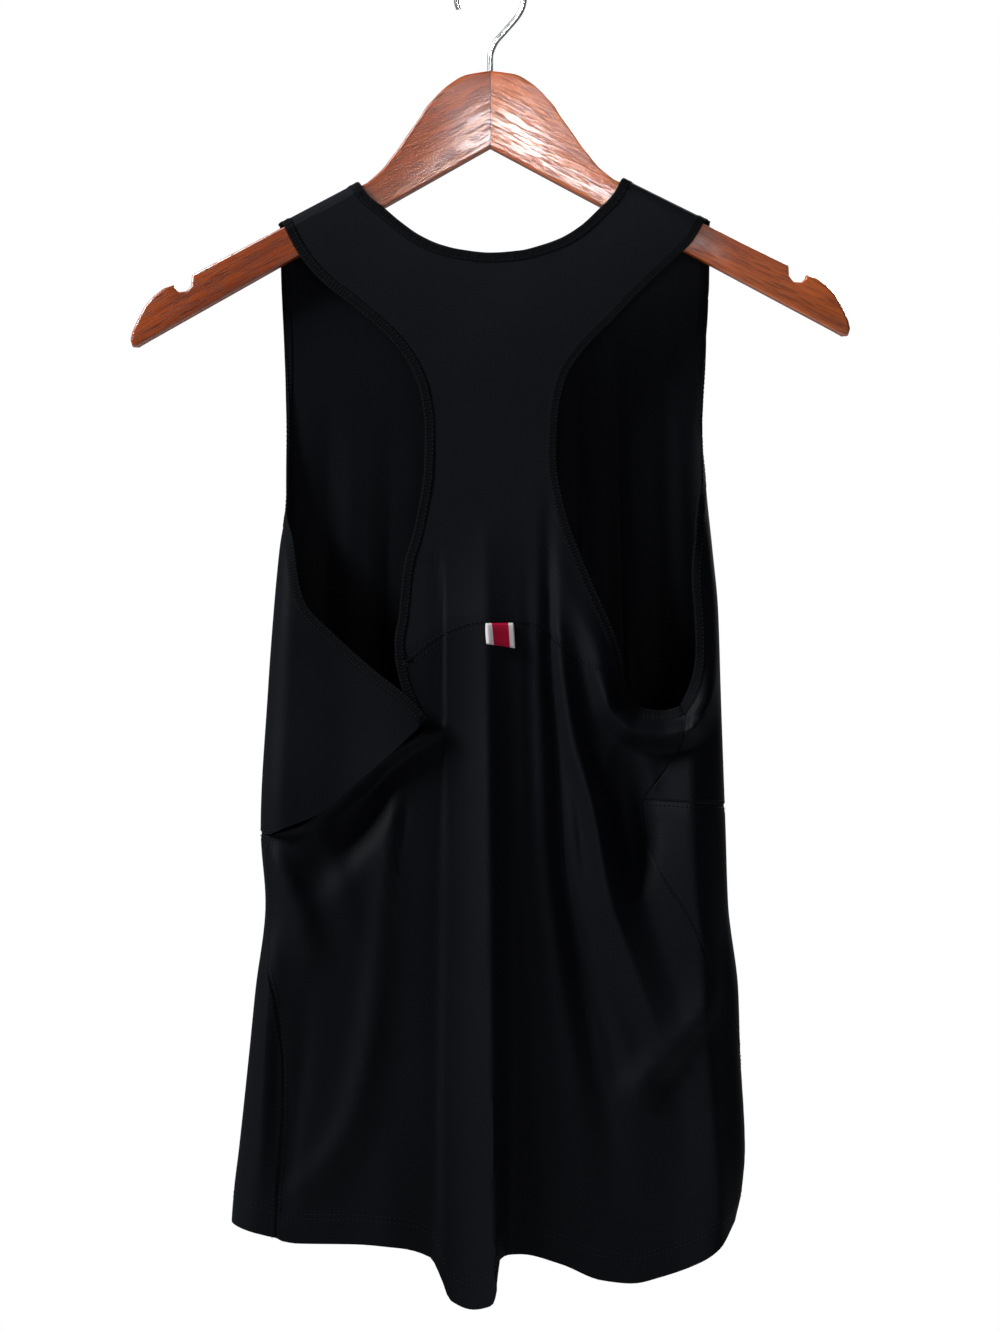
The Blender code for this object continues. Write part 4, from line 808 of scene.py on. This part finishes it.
def micro_mesh(name, dark, light):
    """Micro-mesh, warp knitted with an eyelet every 1.6 mm.

    The eyelets scatter the light, so the eye sees a cloth that is bluer, greyer and duller than the jersey.
    """
    material, tree, shader = new_material(
        name, Roughness=0.7, Sheen_Weight=0.006, Sheen_Roughness=0.5, Sheen_Tint=linear("#9FB0CC"),
        IOR=1.45, Specular_IOR_Level=0.07)
    flat = {"Vector": (node(tree, "UVMap"), "UV")}
    aslant = node(tree, "Mapping", None, {"Rotation": (0, 0, math.radians(45)), **flat})
    eyelets = node(tree, "TexVoronoi", {"feature": "F1"}, {
        "Scale": 640, "Randomness": 0.0, "Vector": (aslant, "Vector")})
    # the eyelets darken the colour: partly the black cloth that shows through them, partly painted shade of
    # the garment's inside
    hole = node(tree, "ValToRGB", None, {"Fac": (eyelets, "Distance")},
                ((0.18, "#000000"), (0.34, "#FFFFFF")))
    cloud = node(tree, "TexNoise", None, {"Scale": 11, "Detail": 3, **flat})
    tone = node(tree, "ValToRGB", None, {"Fac": (cloud, "Fac")}, ((0.3, dark), (0.7, light)))
    with_painted_shade = node(tree, "Mix", MULTIPLIED, {"Factor": 0.75, "A": (tone, "Color"), "B": (hole, "Color")})
    dressed(tree, shader, (with_painted_shade, "Result"), (hole, "Color"), 0.35, 0.0003)
    return material


def tape(name, dark, light):
    """Elastic binding, knitted in cross ribs and folded over the cloth's edge.

    The ribs, drawn 2 mm apart where real ones are 1 mm, drink the light, so the eye sees a matt band that is
    darker than the cloth. That darker colour, and the dark stripes between the ribs, are painted shade.
    """
    material, tree, shader = new_material(name, Roughness=0.9, Specular_IOR_Level=0.05)
    ribs = node(tree, "TexWave", {"bands_direction": "X"}, {
        "Scale": 157, "Distortion": 0.8, "Vector": (node(tree, "UVMap"), "UV")})
    # the ribs' stripes, dark between the ribs and light on them: painted light and shade
    tone = node(tree, "ValToRGB", None, {"Fac": (ribs, "Fac")}, ((0.1, dark), (0.9, light)))
    dressed(tree, shader, (tone, "Color"), (ribs, "Fac"), 0.4, 0.0003)
    return material


def thread(name, dark, light):
    """Twisted polyester sewing thread: round strands, which the eye sees as a row of fine short dashes."""
    material, tree, shader = new_material(name, Roughness=0.6, Specular_IOR_Level=0.06)
    # plies that cross the strand 0.6 mm apart: real ones lie 0.3 mm apart, too fine to show
    plies = node(tree, "TexWave", {"bands_direction": "DIAGONAL"}, {
        "Scale": 1000, "Distortion": 0.5, "Vector": (node(tree, "TexCoord"), "Object")})
    # the plies' stripes, dark between the plies and light on them: painted light and shade on the round
    # strands
    tone = node(tree, "ValToRGB", None, {"Fac": (plies, "Fac")}, ((0.1, dark), (0.9, light)))
    dressed(tree, shader, (tone, "Color"))
    return material


def woven_label(name, red, white):
    """Polyester ribbon, damask woven with a red band between two white ones.

    The bands change colour at one warp thread, so the eye sees them crisp, with a fine weave and no gloss.
    """
    material, tree, shader = new_material(name, Roughness=0.8, Specular_IOR_Level=0.15)
    flat = {"Vector": (node(tree, "UVMap"), "UV")}
    across = node(tree, "SeparateXYZ", None, flat)
    band = node(tree, "ValToRGB", None, {"Fac": (across, "X")}, ((0.0, white), (0.19, red), (0.8, white)))
    band.color_ramp.interpolation = "CONSTANT"
    # the weave's threads lie 0.5 mm apart: real ones lie 0.15 mm apart
    weft = node(tree, "TexWave", {"bands_direction": "Y"}, {"Scale": 0.63, **flat})
    warp = node(tree, "TexWave", {"bands_direction": "X"}, {"Scale": 11.0, **flat})
    weave = node(tree, "Math", {"operation": "MULTIPLY"}, {0: (weft, "Fac"), 1: (warp, "Fac")})
    # the weave darkens the colour between its threads: painted shade
    with_painted_shade = node(tree, "Mix", MULTIPLIED, {"Factor": 0.18, "A": (band, "Color"), "B": (weave, "Value")})
    dressed(tree, shader, (with_painted_shade, "Result"), (weave, "Value"), 0.3, 0.0002)
    return material


def stained_wood(name, side, dark, middle, light):
    """Open-pored hardwood, sawn along the grain, stained red-brown and sprayed with clear gloss lacquer.

    The eye sees dark streaks and pores along each arm, under a soft-edged shine.
    """
    material, tree, shader = new_material(
        name, Roughness=0.4, IOR=1.5, Specular_IOR_Level=0.15,
        Coat_Weight=0.9, Coat_Roughness=0.24, Coat_IOR=1.5)
    place = {"Vector": (node(tree, "TexCoord"), "Object")}
    lean = HANGER_TILT - math.atan(STRAP_SLOPE) * side
    turned = {"Vector": (node(tree, "Mapping", None, {"Rotation": (0, lean, 0), **place}), "Vector")}
    # growth bands 5 mm wide that run the arm's length
    drawn = node(tree, "Mapping", None, {"Scale": (0.07, 0.6, 1), **turned})
    bands = node(tree, "TexNoise", None, {
        "Scale": 170, "Detail": 6, "Roughness": 0.66, "Distortion": 0.4, "Vector": (drawn, "Vector")})
    tone = node(tree, "ValToRGB", None, {"Fac": (bands, "Fac")},
                ((0.3, dark), (0.5, middle), (0.72, light)))
    # pores: dark dashes 0.3 mm wide and a few millimetres long
    fine = node(tree, "Mapping", None, {"Scale": (0.06, 0.5, 1), **turned})
    pores = node(tree, "TexNoise", None, {"Scale": 1500, "Detail": 2, "Vector": (fine, "Vector")})
    pore = node(tree, "ValToRGB", None, {"Fac": (pores, "Fac")}, ((0.36, "#3A1A10"), (0.5, "#FFFFFF")))
    colour = node(tree, "Mix", MULTIPLIED, {"Factor": 0.5, "A": (tone, "Color"), "B": (pore, "Color")})
    # the dark glue line, 0.8 mm wide, where the halves meet
    across = node(tree, "SeparateXYZ", None, place)
    away = node(tree, "Math", {"operation": "ABSOLUTE"}, {0: (across, "X")})
    wide = node(tree, "Math", {"operation": "MULTIPLY"}, {1: 500, 0: (away, "Value")})
    glue = node(tree, "ValToRGB", None, {"Fac": (wide, "Value")}, ((0.1, "#8A6050"), (0.3, "#FFFFFF")))
    glued = node(tree, "Mix", MULTIPLIED, {"Factor": 1.0, "A": (colour, "Result"), "B": (glue, "Color")})
    dressed(tree, shader, (glued, "Result"), (pore, "Color"), 0.3, 0.0004, ("Normal", "Coat Normal"))
    return material


def plated_wire(name):
    """Steel wire, drawn and zinc plated: bright reflections, which faint marks of the die break up."""
    material, tree, shader = new_material(name, Metallic=1.0, Base_Color=linear("#C0C2C5"))
    marks = node(tree, "TexNoise", None, {
        "Scale": 900, "Detail": 2, "Vector": (node(tree, "TexCoord"), "Object")})
    dull = node(tree, "MapRange", None, {"To Min": 0.18, "To Max": 0.34, "Value": (marks, "Fac")})
    tree.links.new(dull.outputs["Result"], shader.inputs["Roughness"])
    return material


def added(name, data):
    """A new object with its data, in the scene."""
    piece = bpy.data.objects.new(name, data)
    bpy.context.collection.objects.link(piece)
    return piece


def stated(piece, nodes):
    """A piece on the body, with the frame's nodes that it replaces."""
    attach(piece, "root")
    if nodes:
        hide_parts(*nodes)
    return piece


def mesh_data(name, mesh, material):
    """A mesh of one material, from a bmesh that it uses up."""
    data = bpy.data.meshes.new(name)
    mesh.to_mesh(data)
    mesh.free()
    data.materials.append(material)
    return data


def finish(name, mesh, material, nodes):
    """A smooth-shaded piece from a bmesh."""
    bmesh.ops.recalc_face_normals(mesh, faces=mesh.faces)
    data = mesh_data(name, mesh, material)
    data.shade_smooth()
    return stated(added(name, data), nodes)


def laid(points, flat_map, mesh=None):
    """A grid laid on a grid of points, with a UV map, in a new bmesh or added to one."""
    mesh = mesh or bmesh.new()
    had_verts, had_faces = len(mesh.verts), len(mesh.faces)
    rows, columns = points.shape[:2]
    bmesh.ops.create_grid(mesh, x_segments=columns - 1, y_segments=rows - 1, size=1)
    for vertex, place in zip(list(mesh.verts)[had_verts:], metres(points).reshape(-1, 3)):
        vertex.co = place
    mesh.verts.index_update()
    uv = mesh.loops.layers.uv.get("flat") or mesh.loops.layers.uv.new("flat")
    flat = np.asarray(flat_map, dtype=float).reshape(-1, 2)
    for face in list(mesh.faces)[had_faces:]:
        for loop in face.loops:
            loop[uv].uv = flat[loop.vert.index - had_verts]
    return mesh


def cloth(name, surface, grids, out, sewn, material, node_name):
    """A panel of cloth: a smooth sheet with the knit's thickness behind it, pulled in at its seams."""
    mesh = bmesh.new()
    for chart in grids:
        point, normal = placed(surface, chart, out)
        if chart is grids[-1]:
            for border in sewn:
                point[border] -= normal[border] * SEAM_DIP
        laid(point, chart / 1000, mesh)
    bmesh.ops.remove_doubles(mesh, verts=mesh.verts, dist=MERGE)
    piece = finish(name, mesh, material, [node_name])
    # the knit's thickness goes behind the face that the surface names as its outer one
    places = metres(point).reshape(-1, 3)
    middle = len(places) // 2 + 3
    corner = min(piece.data.vertices, key=lambda vertex: (vertex.co - Vector(places[middle])).length_squared)
    if Vector(normal.reshape(-1, 3)[middle] * (1, 1, -1)).dot(corner.normal) < 0:
        piece.data.flip_normals()
    thick = piece.modifiers.new("knit thickness", "SOLIDIFY")
    thick.thickness = CLOTH / 1000
    thick.offset = -1
    # the thickness is made real, so that the cut edges can be marked sharp
    solid = piece.evaluated_get(bpy.context.evaluated_depsgraph_get())
    piece.data = bpy.data.meshes.new_from_object(solid)
    piece.modifiers.clear()
    piece.data.set_sharp_from_angle(angle=CLOTH_CREASE)
    return piece


def closed(mesh):
    """A bmesh with its doubles merged and its open ends filled."""
    bmesh.ops.remove_doubles(mesh, verts=mesh.verts, dist=MERGE)
    bmesh.ops.holes_fill(mesh, edges=[edge for edge in mesh.edges if edge.is_boundary], sides=0)
    return mesh


def tape_points(surface, border, side, out, ridges=(), end=None):
    """A folded tape's section at each point of a panel's border, as a grid of points and its UV map."""
    loop = [(u, h * BINDING_FACE) for u, h in TAPE_SECTION]
    loop += [(u, -CLOTH - h * BINDING_FACE) for u, h in reversed(TAPE_SECTION[:-1])]
    loop.append(loop[0])
    grid, flat = [], []
    length, round_it = lengths(border), lengths(loop)
    for (u, h), v in zip(loop, round_it):
        chart = moved(border, side * u * BINDING_WIDTH / TAPE_WIDE)
        for i in ridges:
            chart[i] = on_ridge(surface, chart[i])
        if end is not None:
            chart[-1] = end[0] + (end[1] - end[0]) * u / TAPE_WIDE
        point, normal = placed(surface, chart, out)
        pucker = 1 + PUCKER * np.sin(length * 2 * math.pi / PUCKER_PITCH)[:, None] * (abs(h) > 0.3)
        middle = -CLOTH / 2
        grid.append(point + normal * (middle + (h - middle) * pucker))
        flat.append(chart_line(length / 1000, v / 1000))
    return np.stack(grid, axis=1), np.stack(flat, axis=1)


def tape_piece(name, strips, material):
    """One length of tape from one or more strips, closed round and at its ends."""
    points = np.concatenate([strips[0][0]] + [grid[1:] for grid, _ in strips[1:]])
    flat = strips[0][1]
    for _, more in strips[1:]:
        flat = np.concatenate([flat, more[1:] + (flat[-1, 0, 0], 0)])
    mesh = closed(laid(points, flat))
    return finish(name.replace("binding", "tape"), mesh, material, [name])


def line_on(surface, line, out, height):
    """Points of a line on a surface, lifted off it, with the surface's outward direction."""
    point, normal = placed(surface, line, out)
    return point + normal * height, normal


def stitches(mesh, point, normal, pitch):
    """Adds a row of stitches along a line of points: each one a short round strand that dips at its ends."""
    length = lengths(point)
    places = np.arange(pitch / 2, length[-1], pitch)

    def read(values, shift=0.0):
        """The values at the stitches, or at so much further along the line."""
        return np.stack([np.interp(places + shift, length, values[:, i]) for i in range(3)], axis=1)

    size = Matrix.Diagonal((STITCH_LONG / 2000, STITCH_WIDE / 2000, STITCH_WIDE / 2000 * STITCH_FLAT, 1))
    ways = read(point, STITCH_AIM) - read(point, -STITCH_AIM)
    for centre, way, high in zip(read(point), ways, read(normal)):
        along_it = Vector(way * (1, 1, -1)).normalized()
        outward = Vector(high * (1, 1, -1)).normalized()
        aside = outward.cross(along_it).normalized()
        turn = Matrix((along_it, aside, outward)).transposed().to_4x4()
        place = Matrix.Translation(Vector(metres(centre)))
        bmesh.ops.create_icosphere(mesh, subdivisions=1, radius=1, matrix=place @ turn @ size)


def charts():
    """Every panel's chart, and for each binding the lengths of the borders that it follows.

    A length is given by its surface, its line, the side of the line that the tape covers and the way out.
    """
    fan, waist, neck, yoke_left, yoke_right = yoke_charts()
    back, front = back_chart(), front_chart()
    first, count = len(EDGE_RUNS), len(FRONT_NECK_STATIONS)
    back_left, cowl_line = back[:UPPER_ROWS - TUCK_ROWS + 1, 0], back[0, len(BACK_TOP) - 1:]
    panels = {"yoke": [fan, waist], "back": [back], "front": [front], "front_lower": [skirt_chart(front)]}
    return panels, {
        "neck_binding_back": [(yoke_surface, neck, 1, 1)],
        "neck_binding_front": [(front_surface, front[0, first:first + count], 1, -1)],
        "armhole_binding_left_back": [(yoke_surface, yoke_left, -1, 1), (back_surface, back_left, -1, 1)],
        "armhole_binding_left_front": [(front_surface, front[:len(FRONT_ROWS_LEFT), 0], -1, -1)],
        "armhole_binding_right_back": [(yoke_surface, yoke_right, 1, 1), (back_surface, cowl_line, 1, 1)],
        "armhole_binding_right_front": [(front_surface, front[:len(FRONT_ROWS_RIGHT), -1], 1, -1)],
    }


class SingletCloth(bpy.types.PropertyGroup):
    """The garment's colours."""

    body: bpy.props.FloatVectorProperty(
        name="Body", description="Colour of the jersey where it catches the light", subtype="COLOR", size=4,
        default=linear("#090C11"), min=0, max=1)
    stitch: bpy.props.FloatProperty(
        name="Stitch Pitch", description="From one stitch to the next", default=STITCH_PITCH / 1000,
        min=0.0015, max=0.006, unit="LENGTH", subtype="DISTANCE", precision=4)


class SingletStage(bpy.types.PropertyGroup):
    """The floor and the lights."""

    floor: bpy.props.FloatVectorProperty(
        name="Floor", description="Colour of the floor", subtype="COLOR", size=4, default=linear("#F4F4F4"),
        min=0, max=1)
    fill: bpy.props.FloatProperty(
        name="Fill", description="Strength of the light from all round", default=0.12, min=0)
    key_power: bpy.props.FloatProperty(
        name="Key Light", description="Power of the main soft light", default=80, min=0, unit="POWER")


class SINGLET_OT_panels(bpy.types.Operator):
    """Lays the four panels of cloth"""

    bl_idname = "singlet.panels"
    bl_label = "Panels"

    def execute(self, context):
        panels, _ = charts()
        body = jersey("Polyester jersey, circular knit", context.scene.singlet_cloth.body, 0.6, 0.01)
        mesh_cloth = micro_mesh("Micro-mesh polyester warp knit", "#090B10", "#0D1016")
        plan = (
            ("yoke", yoke_surface, 1, [np.s_[-1]], mesh_cloth, "back_yoke", "yoke_cloth"),
            ("back", back_surface, 1, [np.s_[1:, -1], np.s_[UPPER_ROWS:, 0]], body, "back_panel", "jersey"),
            ("front", front_surface, -1, [np.s_[-1], np.s_[len(FRONT_ROWS_RIGHT) - 1:-1, -1]], body,
             "front_panel", "jersey"),
            ("front_lower", hem_surface, -1, [np.s_[0], np.s_[1:, 0], np.s_[1:, -1]], body, "front_skirt",
             "jersey"),
        )
        for name, surface, out, sewn, material, node_name, slot in plan:
            cloth(name, surface, panels[name], out, sewn, material, node_name)
        return {"FINISHED"}


class SINGLET_OT_bindings(bpy.types.Operator):
    """Folds the tape over the neck's and the armholes' edges"""

    bl_idname = "singlet.bindings"
    bl_label = "Bindings"

    def execute(self, context):
        knit = tape("Elastic binding tape, rib knit", "#050608", "#090A0D")
        cuts = {"armhole_binding_right_back": near_run(underarm_cut(-1)),
                "armhole_binding_right_front": round_right(from_edge(underarm_cut(1), "right"), 1)}
        for name, borders in charts()[1].items():
            strips = []
            for surface, line, side, out in borders:
                at_ridge = () if surface is back_surface else (0, -1) if "neck" in name else (0,)
                cut = cuts.get(name) if line is borders[-1][1] else None
                strips.append(tape_points(surface, line, side, out, at_ridge, cut))
            tape_piece(name, strips, knit)
        return {"FINISHED"}


class SINGLET_OT_stitching(bpy.types.Operator):
    """Sews the rows of stitches along the bindings, the seams and the hem"""

    bl_idname = "singlet.stitching"
    bl_label = "Stitching"

    def execute(self, context):
        panels, bindings = charts()
        pitch = context.scene.singlet_cloth.stitch * 1000
        strand = thread("Polyester sewing thread", "#0B0D11", "#15191E")
        mesh = bmesh.new()
        for surface, border, side, out in [border for borders in bindings.values() for border in borders]:
            for across in TAPE_STITCHES:
                line = moved(border, side * across)
                for height in (BINDING_FACE, -CLOTH - BINDING_FACE):
                    stitches(mesh, *line_on(surface, line, out, height * STITCH_SUNK), pitch)
        finish("binding_stitches", mesh, strand, ())
        mesh = bmesh.new()
        waist, back, front, skirt = (grids[-1] for grids in panels.values())
        seams = (
            (yoke_surface, waist[-1], 1, 1), (back_surface, back[0, :len(BACK_TOP)], -1, 1),
            (front_surface, front[-1], 1, -1), (hem_surface, skirt[0], -1, -1),
            (back_surface, back[:, -1], -1, 1), (back_surface, back[UPPER_ROWS:, 0], 1, 1),
            (hem_surface, skirt[:, 0], 1, -1), (hem_surface, skirt[:, -1], -1, -1),
            (front_surface, front[len(FRONT_ROWS_RIGHT) - 1:, -1], -1, -1),
        )
        for surface, seam, side, out in seams:
            line = moved(seam, side * SEAM_STITCHES)
            stitches(mesh, *line_on(surface, line, out, STITCH_HIGH), pitch)
        for surface, hem, out in ((back_surface, back[-1], 1), (hem_surface, skirt[-1], -1)):
            for above in HEM_STITCHES:
                stitches(mesh, *line_on(surface, hem - (0, above), out, STITCH_HIGH), pitch)
        finish("seam_stitches", mesh, strand, ())
        return {"FINISHED"}


class SINGLET_OT_label(bpy.types.Operator):
    """Hangs the woven tab from the middle of the yoke's seam"""

    bl_idname = "singlet.label"
    bl_label = "Label Tab"

    def execute(self, context):
        ribbon = woven_label("Damask-woven ribbon", "#96002A", "#BDB8BA")
        share = np.linspace(0, 1, TAB["columns"])
        across = TAB["left"] + share * TAB["wide"]
        grid, flat = [], []
        for i, (down, height) in enumerate(TAB_SECTION):
            low = TAB["drop"] + down * (1 + TAB["fall"] * across)
            line = chart_line(across + TAB["lean"] * down, low)
            point, normal = placed(yoke_surface, line, 1)
            grid.append(point + height * normal)
            flat.append(chart_line(share, i * TAB["weave"]))
        mesh = closed(laid(np.stack(grid), np.stack(flat)))
        finish("tab_ribbon", mesh, ribbon, ["label_tab"])
        return {"FINISHED"}


class SINGLET_OT_sheets(bpy.types.Operator):
    """Does nothing: no panel is stated as a sheet of cloth"""

    bl_idname = "singlet.sheets"
    bl_label = "State Sheets"

    def execute(self, context):
        return {"FINISHED"}


def wood_half(name, side, material):
    """One half of the hanger: its outline drawn out to the wood's thickness, with its long edges rounded."""
    mesh = bmesh.new()
    corners = []
    for half_width, drop in [*along(CROWN_LINE, CROWN_STEPS), *NOTCH_AND_END, (0, ARCH_TOP)]:
        low = drop - side * half_width * math.tan(HANGER_TILT)
        corners.append(mesh.verts.new((side * half_width / 1000, -WOOD_THICK / 2000, (CROWN - low) / 1000)))
    face = mesh.faces.new(corners)
    far_side = bmesh.ops.extrude_face_region(mesh, geom=[face])["geom"]
    far_verts = [item for item in far_side if isinstance(item, bmesh.types.BMVert)]
    bmesh.ops.translate(mesh, verts=far_verts, vec=(0, WOOD_THICK / 1000, 0))
    bmesh.ops.recalc_face_normals(mesh, faces=mesh.faces)
    long_edges = []
    for edge in mesh.edges:
        start, end = (vertex.co * 1000 for vertex in edge.verts)
        lies = sorted((abs(start.x), abs(end.x)))
        if abs(start.y - end.y) < 0.01 and lies[1] > 0.01:
            long_edges.append(edge)
    bmesh.ops.bevel(mesh, geom=long_edges, offset=WOOD_ROUND / 1000, segments=5, profile=0.5, affect="EDGES",
                    material=-1, clamp_overlap=True)
    piece = finish(name.replace("hanger", "wood"), mesh, material, [name])
    piece.data.set_sharp_from_angle(angle=WOOD_CREASE)
    return piece


class SINGLET_OT_hanger(bpy.types.Operator):
    """Makes the wooden hanger and its wire hook"""

    bl_idname = "singlet.hanger"
    bl_label = "Hanger"

    def execute(self, context):
        # each half's side, name and stain, from dark to light. The right half's colours are lighter than the
        # left's: painted light on that arm
        for side, half, *stain_and_painted_light in ((-1, "left", "#642506", "#7C3208", "#8A3E0D"),
                                   (1, "right", "#7C3610", "#9C4815", "#B0561F")):
            wood_half("hanger_" + half, side, stained_wood(f"Stained hardwood, {half} half", side, *stain_and_painted_light))
        centre = WIRE / 2 - HOOK_RADIUS
        stem = [(x, CROWN + z) for x, z in HOOK_STEM]
        bow = [(HOOK_RADIUS * math.cos(a), centre + HOOK_RADIUS * math.sin(a)) for a in HOOK_ROUND]
        wire = bpy.data.curves.new("hook_wire", "CURVE")
        wire.dimensions = "3D"
        spline = wire.splines.new("POLY")
        route = along(stem + bow, LINE_STEPS)
        spline.points.add(len(route) - 1)
        for point, (x, z) in zip(spline.points, route):
            point.co = (x / 1000, 0, z / 1000, 1)
        wire.bevel_depth = WIRE / 2000
        wire.bevel_resolution = 6
        wire.use_fill_caps = True
        wire.materials.append(plated_wire("Plated steel wire"))
        stated(added("hook_wire", wire), ["hook"])
        return {"FINISHED"}


class SINGLET_OT_stage(bpy.types.Operator):
    """Sets up the floor, the lights and the camera"""

    bl_idname = "singlet.stage"
    bl_label = "Stage"

    def execute(self, context):
        settings = context.scene.singlet_stage
        mesh = bmesh.new()
        bmesh.ops.create_circle(mesh, cap_ends=True, segments=96, radius=FLOOR_RADIUS)
        bmesh.ops.translate(mesh, verts=mesh.verts, vec=(0, 0, FLOOR_HEIGHT))
        paint = new_material("Matt paint, rolled", Base_Color=settings.floor, Roughness=0.9)[0]
        added("floor", mesh_data("floor", mesh, paint))

        # a white surround behind everything, which lights the object only softly
        world = bpy.data.worlds.new("Studio")
        world.use_nodes = True
        tree = world.node_tree
        soft = tree.nodes["Background"]
        soft.inputs["Color"].default_value = linear("#FFFFFF")
        soft.inputs["Strength"].default_value = settings.fill
        seen = node(tree, "Background", None, {"Color": linear("#FFFFFF"), "Strength": 1.0})
        both = node(tree, "MixShader", None, {
            0: (node(tree, "LightPath"), "Is Camera Ray"), 1: (soft, "Background"), 2: (seen, "Background")})
        tree.links.new(both.outputs["Shader"], tree.nodes["World Output"].inputs["Surface"])
        context.scene.world = world
        # each one's name, place, aim, size, power and spread
        lights = (
            ("key light", (-1.5, -0.55, 0.75), (0.0, 0.0, -0.4), 0.5, settings.key_power, 180),
            ("gloss light", (0.1, -1.75, 0.1), (0.05, 0.0, -0.03), 0.17, settings.key_power * 0.0017, 12),
            ("front fill", (0.9, -2.1, -0.9), (0.0, 0.0, -0.4), 1.0, settings.key_power * 0.07, 180),
            ("far side light", (1.0, 1.7, 0.7), (0.0, 0.0, -0.4), 0.7, settings.key_power * 0.8, 180),
        )
        for name, at, towards, size, power, spread in lights:
            light = bpy.data.lights.new(name, "AREA")
            light.size = size
            light.spread = math.radians(spread)
            light.energy = power
            lamp = added(name, light)
            lamp.location = at
            lamp.rotation_euler = (Vector(towards) - Vector(at)).to_track_quat("-Z", "Y").to_euler()

        view = bpy.data.cameras.new("camera")
        view.sensor_fit = "VERTICAL"
        view.sensor_height = 24
        view.lens = -view.sensor_height * CAMERA_PLACE[1] / VIEW_HIGH
        camera = added("camera", view)
        camera.location = CAMERA_PLACE
        camera.rotation_euler = (math.radians(90), 0, 0)
        context.scene.camera = camera
        context.scene.view_settings.view_transform = "Standard"
        return {"FINISHED"}


class SINGLET_PT_panel(bpy.types.Panel):
    """Lists the pieces in the order that they are made."""

    bl_idname = "SINGLET_PT_panel"
    bl_label = "Singlet"
    bl_space_type = "VIEW_3D"
    bl_region_type = "UI"
    bl_category = "Singlet"

    def draw(self, context):
        layout = self.layout
        for operator in OPERATORS:
            layout.operator(operator.bl_idname)
        for group in (context.scene.singlet_cloth, context.scene.singlet_stage):
            for name in group.bl_rna.properties.keys():
                if name not in ("rna_type", "name"):
                    layout.prop(group, name)


OPERATORS = (SINGLET_OT_stage, SINGLET_OT_panels, SINGLET_OT_bindings, SINGLET_OT_stitching, SINGLET_OT_label,
             SINGLET_OT_hanger, SINGLET_OT_sheets)
CLASSES = (SingletCloth, SingletStage, *OPERATORS, SINGLET_PT_panel)


def register():
    for each in CLASSES:
        bpy.utils.register_class(each)
    bpy.types.Scene.singlet_cloth = bpy.props.PointerProperty(type=SingletCloth)
    bpy.types.Scene.singlet_stage = bpy.props.PointerProperty(type=SingletStage)


def unregister():
    del bpy.types.Scene.singlet_stage
    del bpy.types.Scene.singlet_cloth
    for each in reversed(CLASSES):
        bpy.utils.unregister_class(each)


def main():
    register()
    bpy.ops.singlet.stage()
    bpy.ops.singlet.panels()
    bpy.ops.singlet.bindings()
    bpy.ops.singlet.stitching()
    bpy.ops.singlet.label()
    bpy.ops.singlet.hanger()
    bpy.ops.singlet.sheets()


if __name__ == "__main__":
    main()
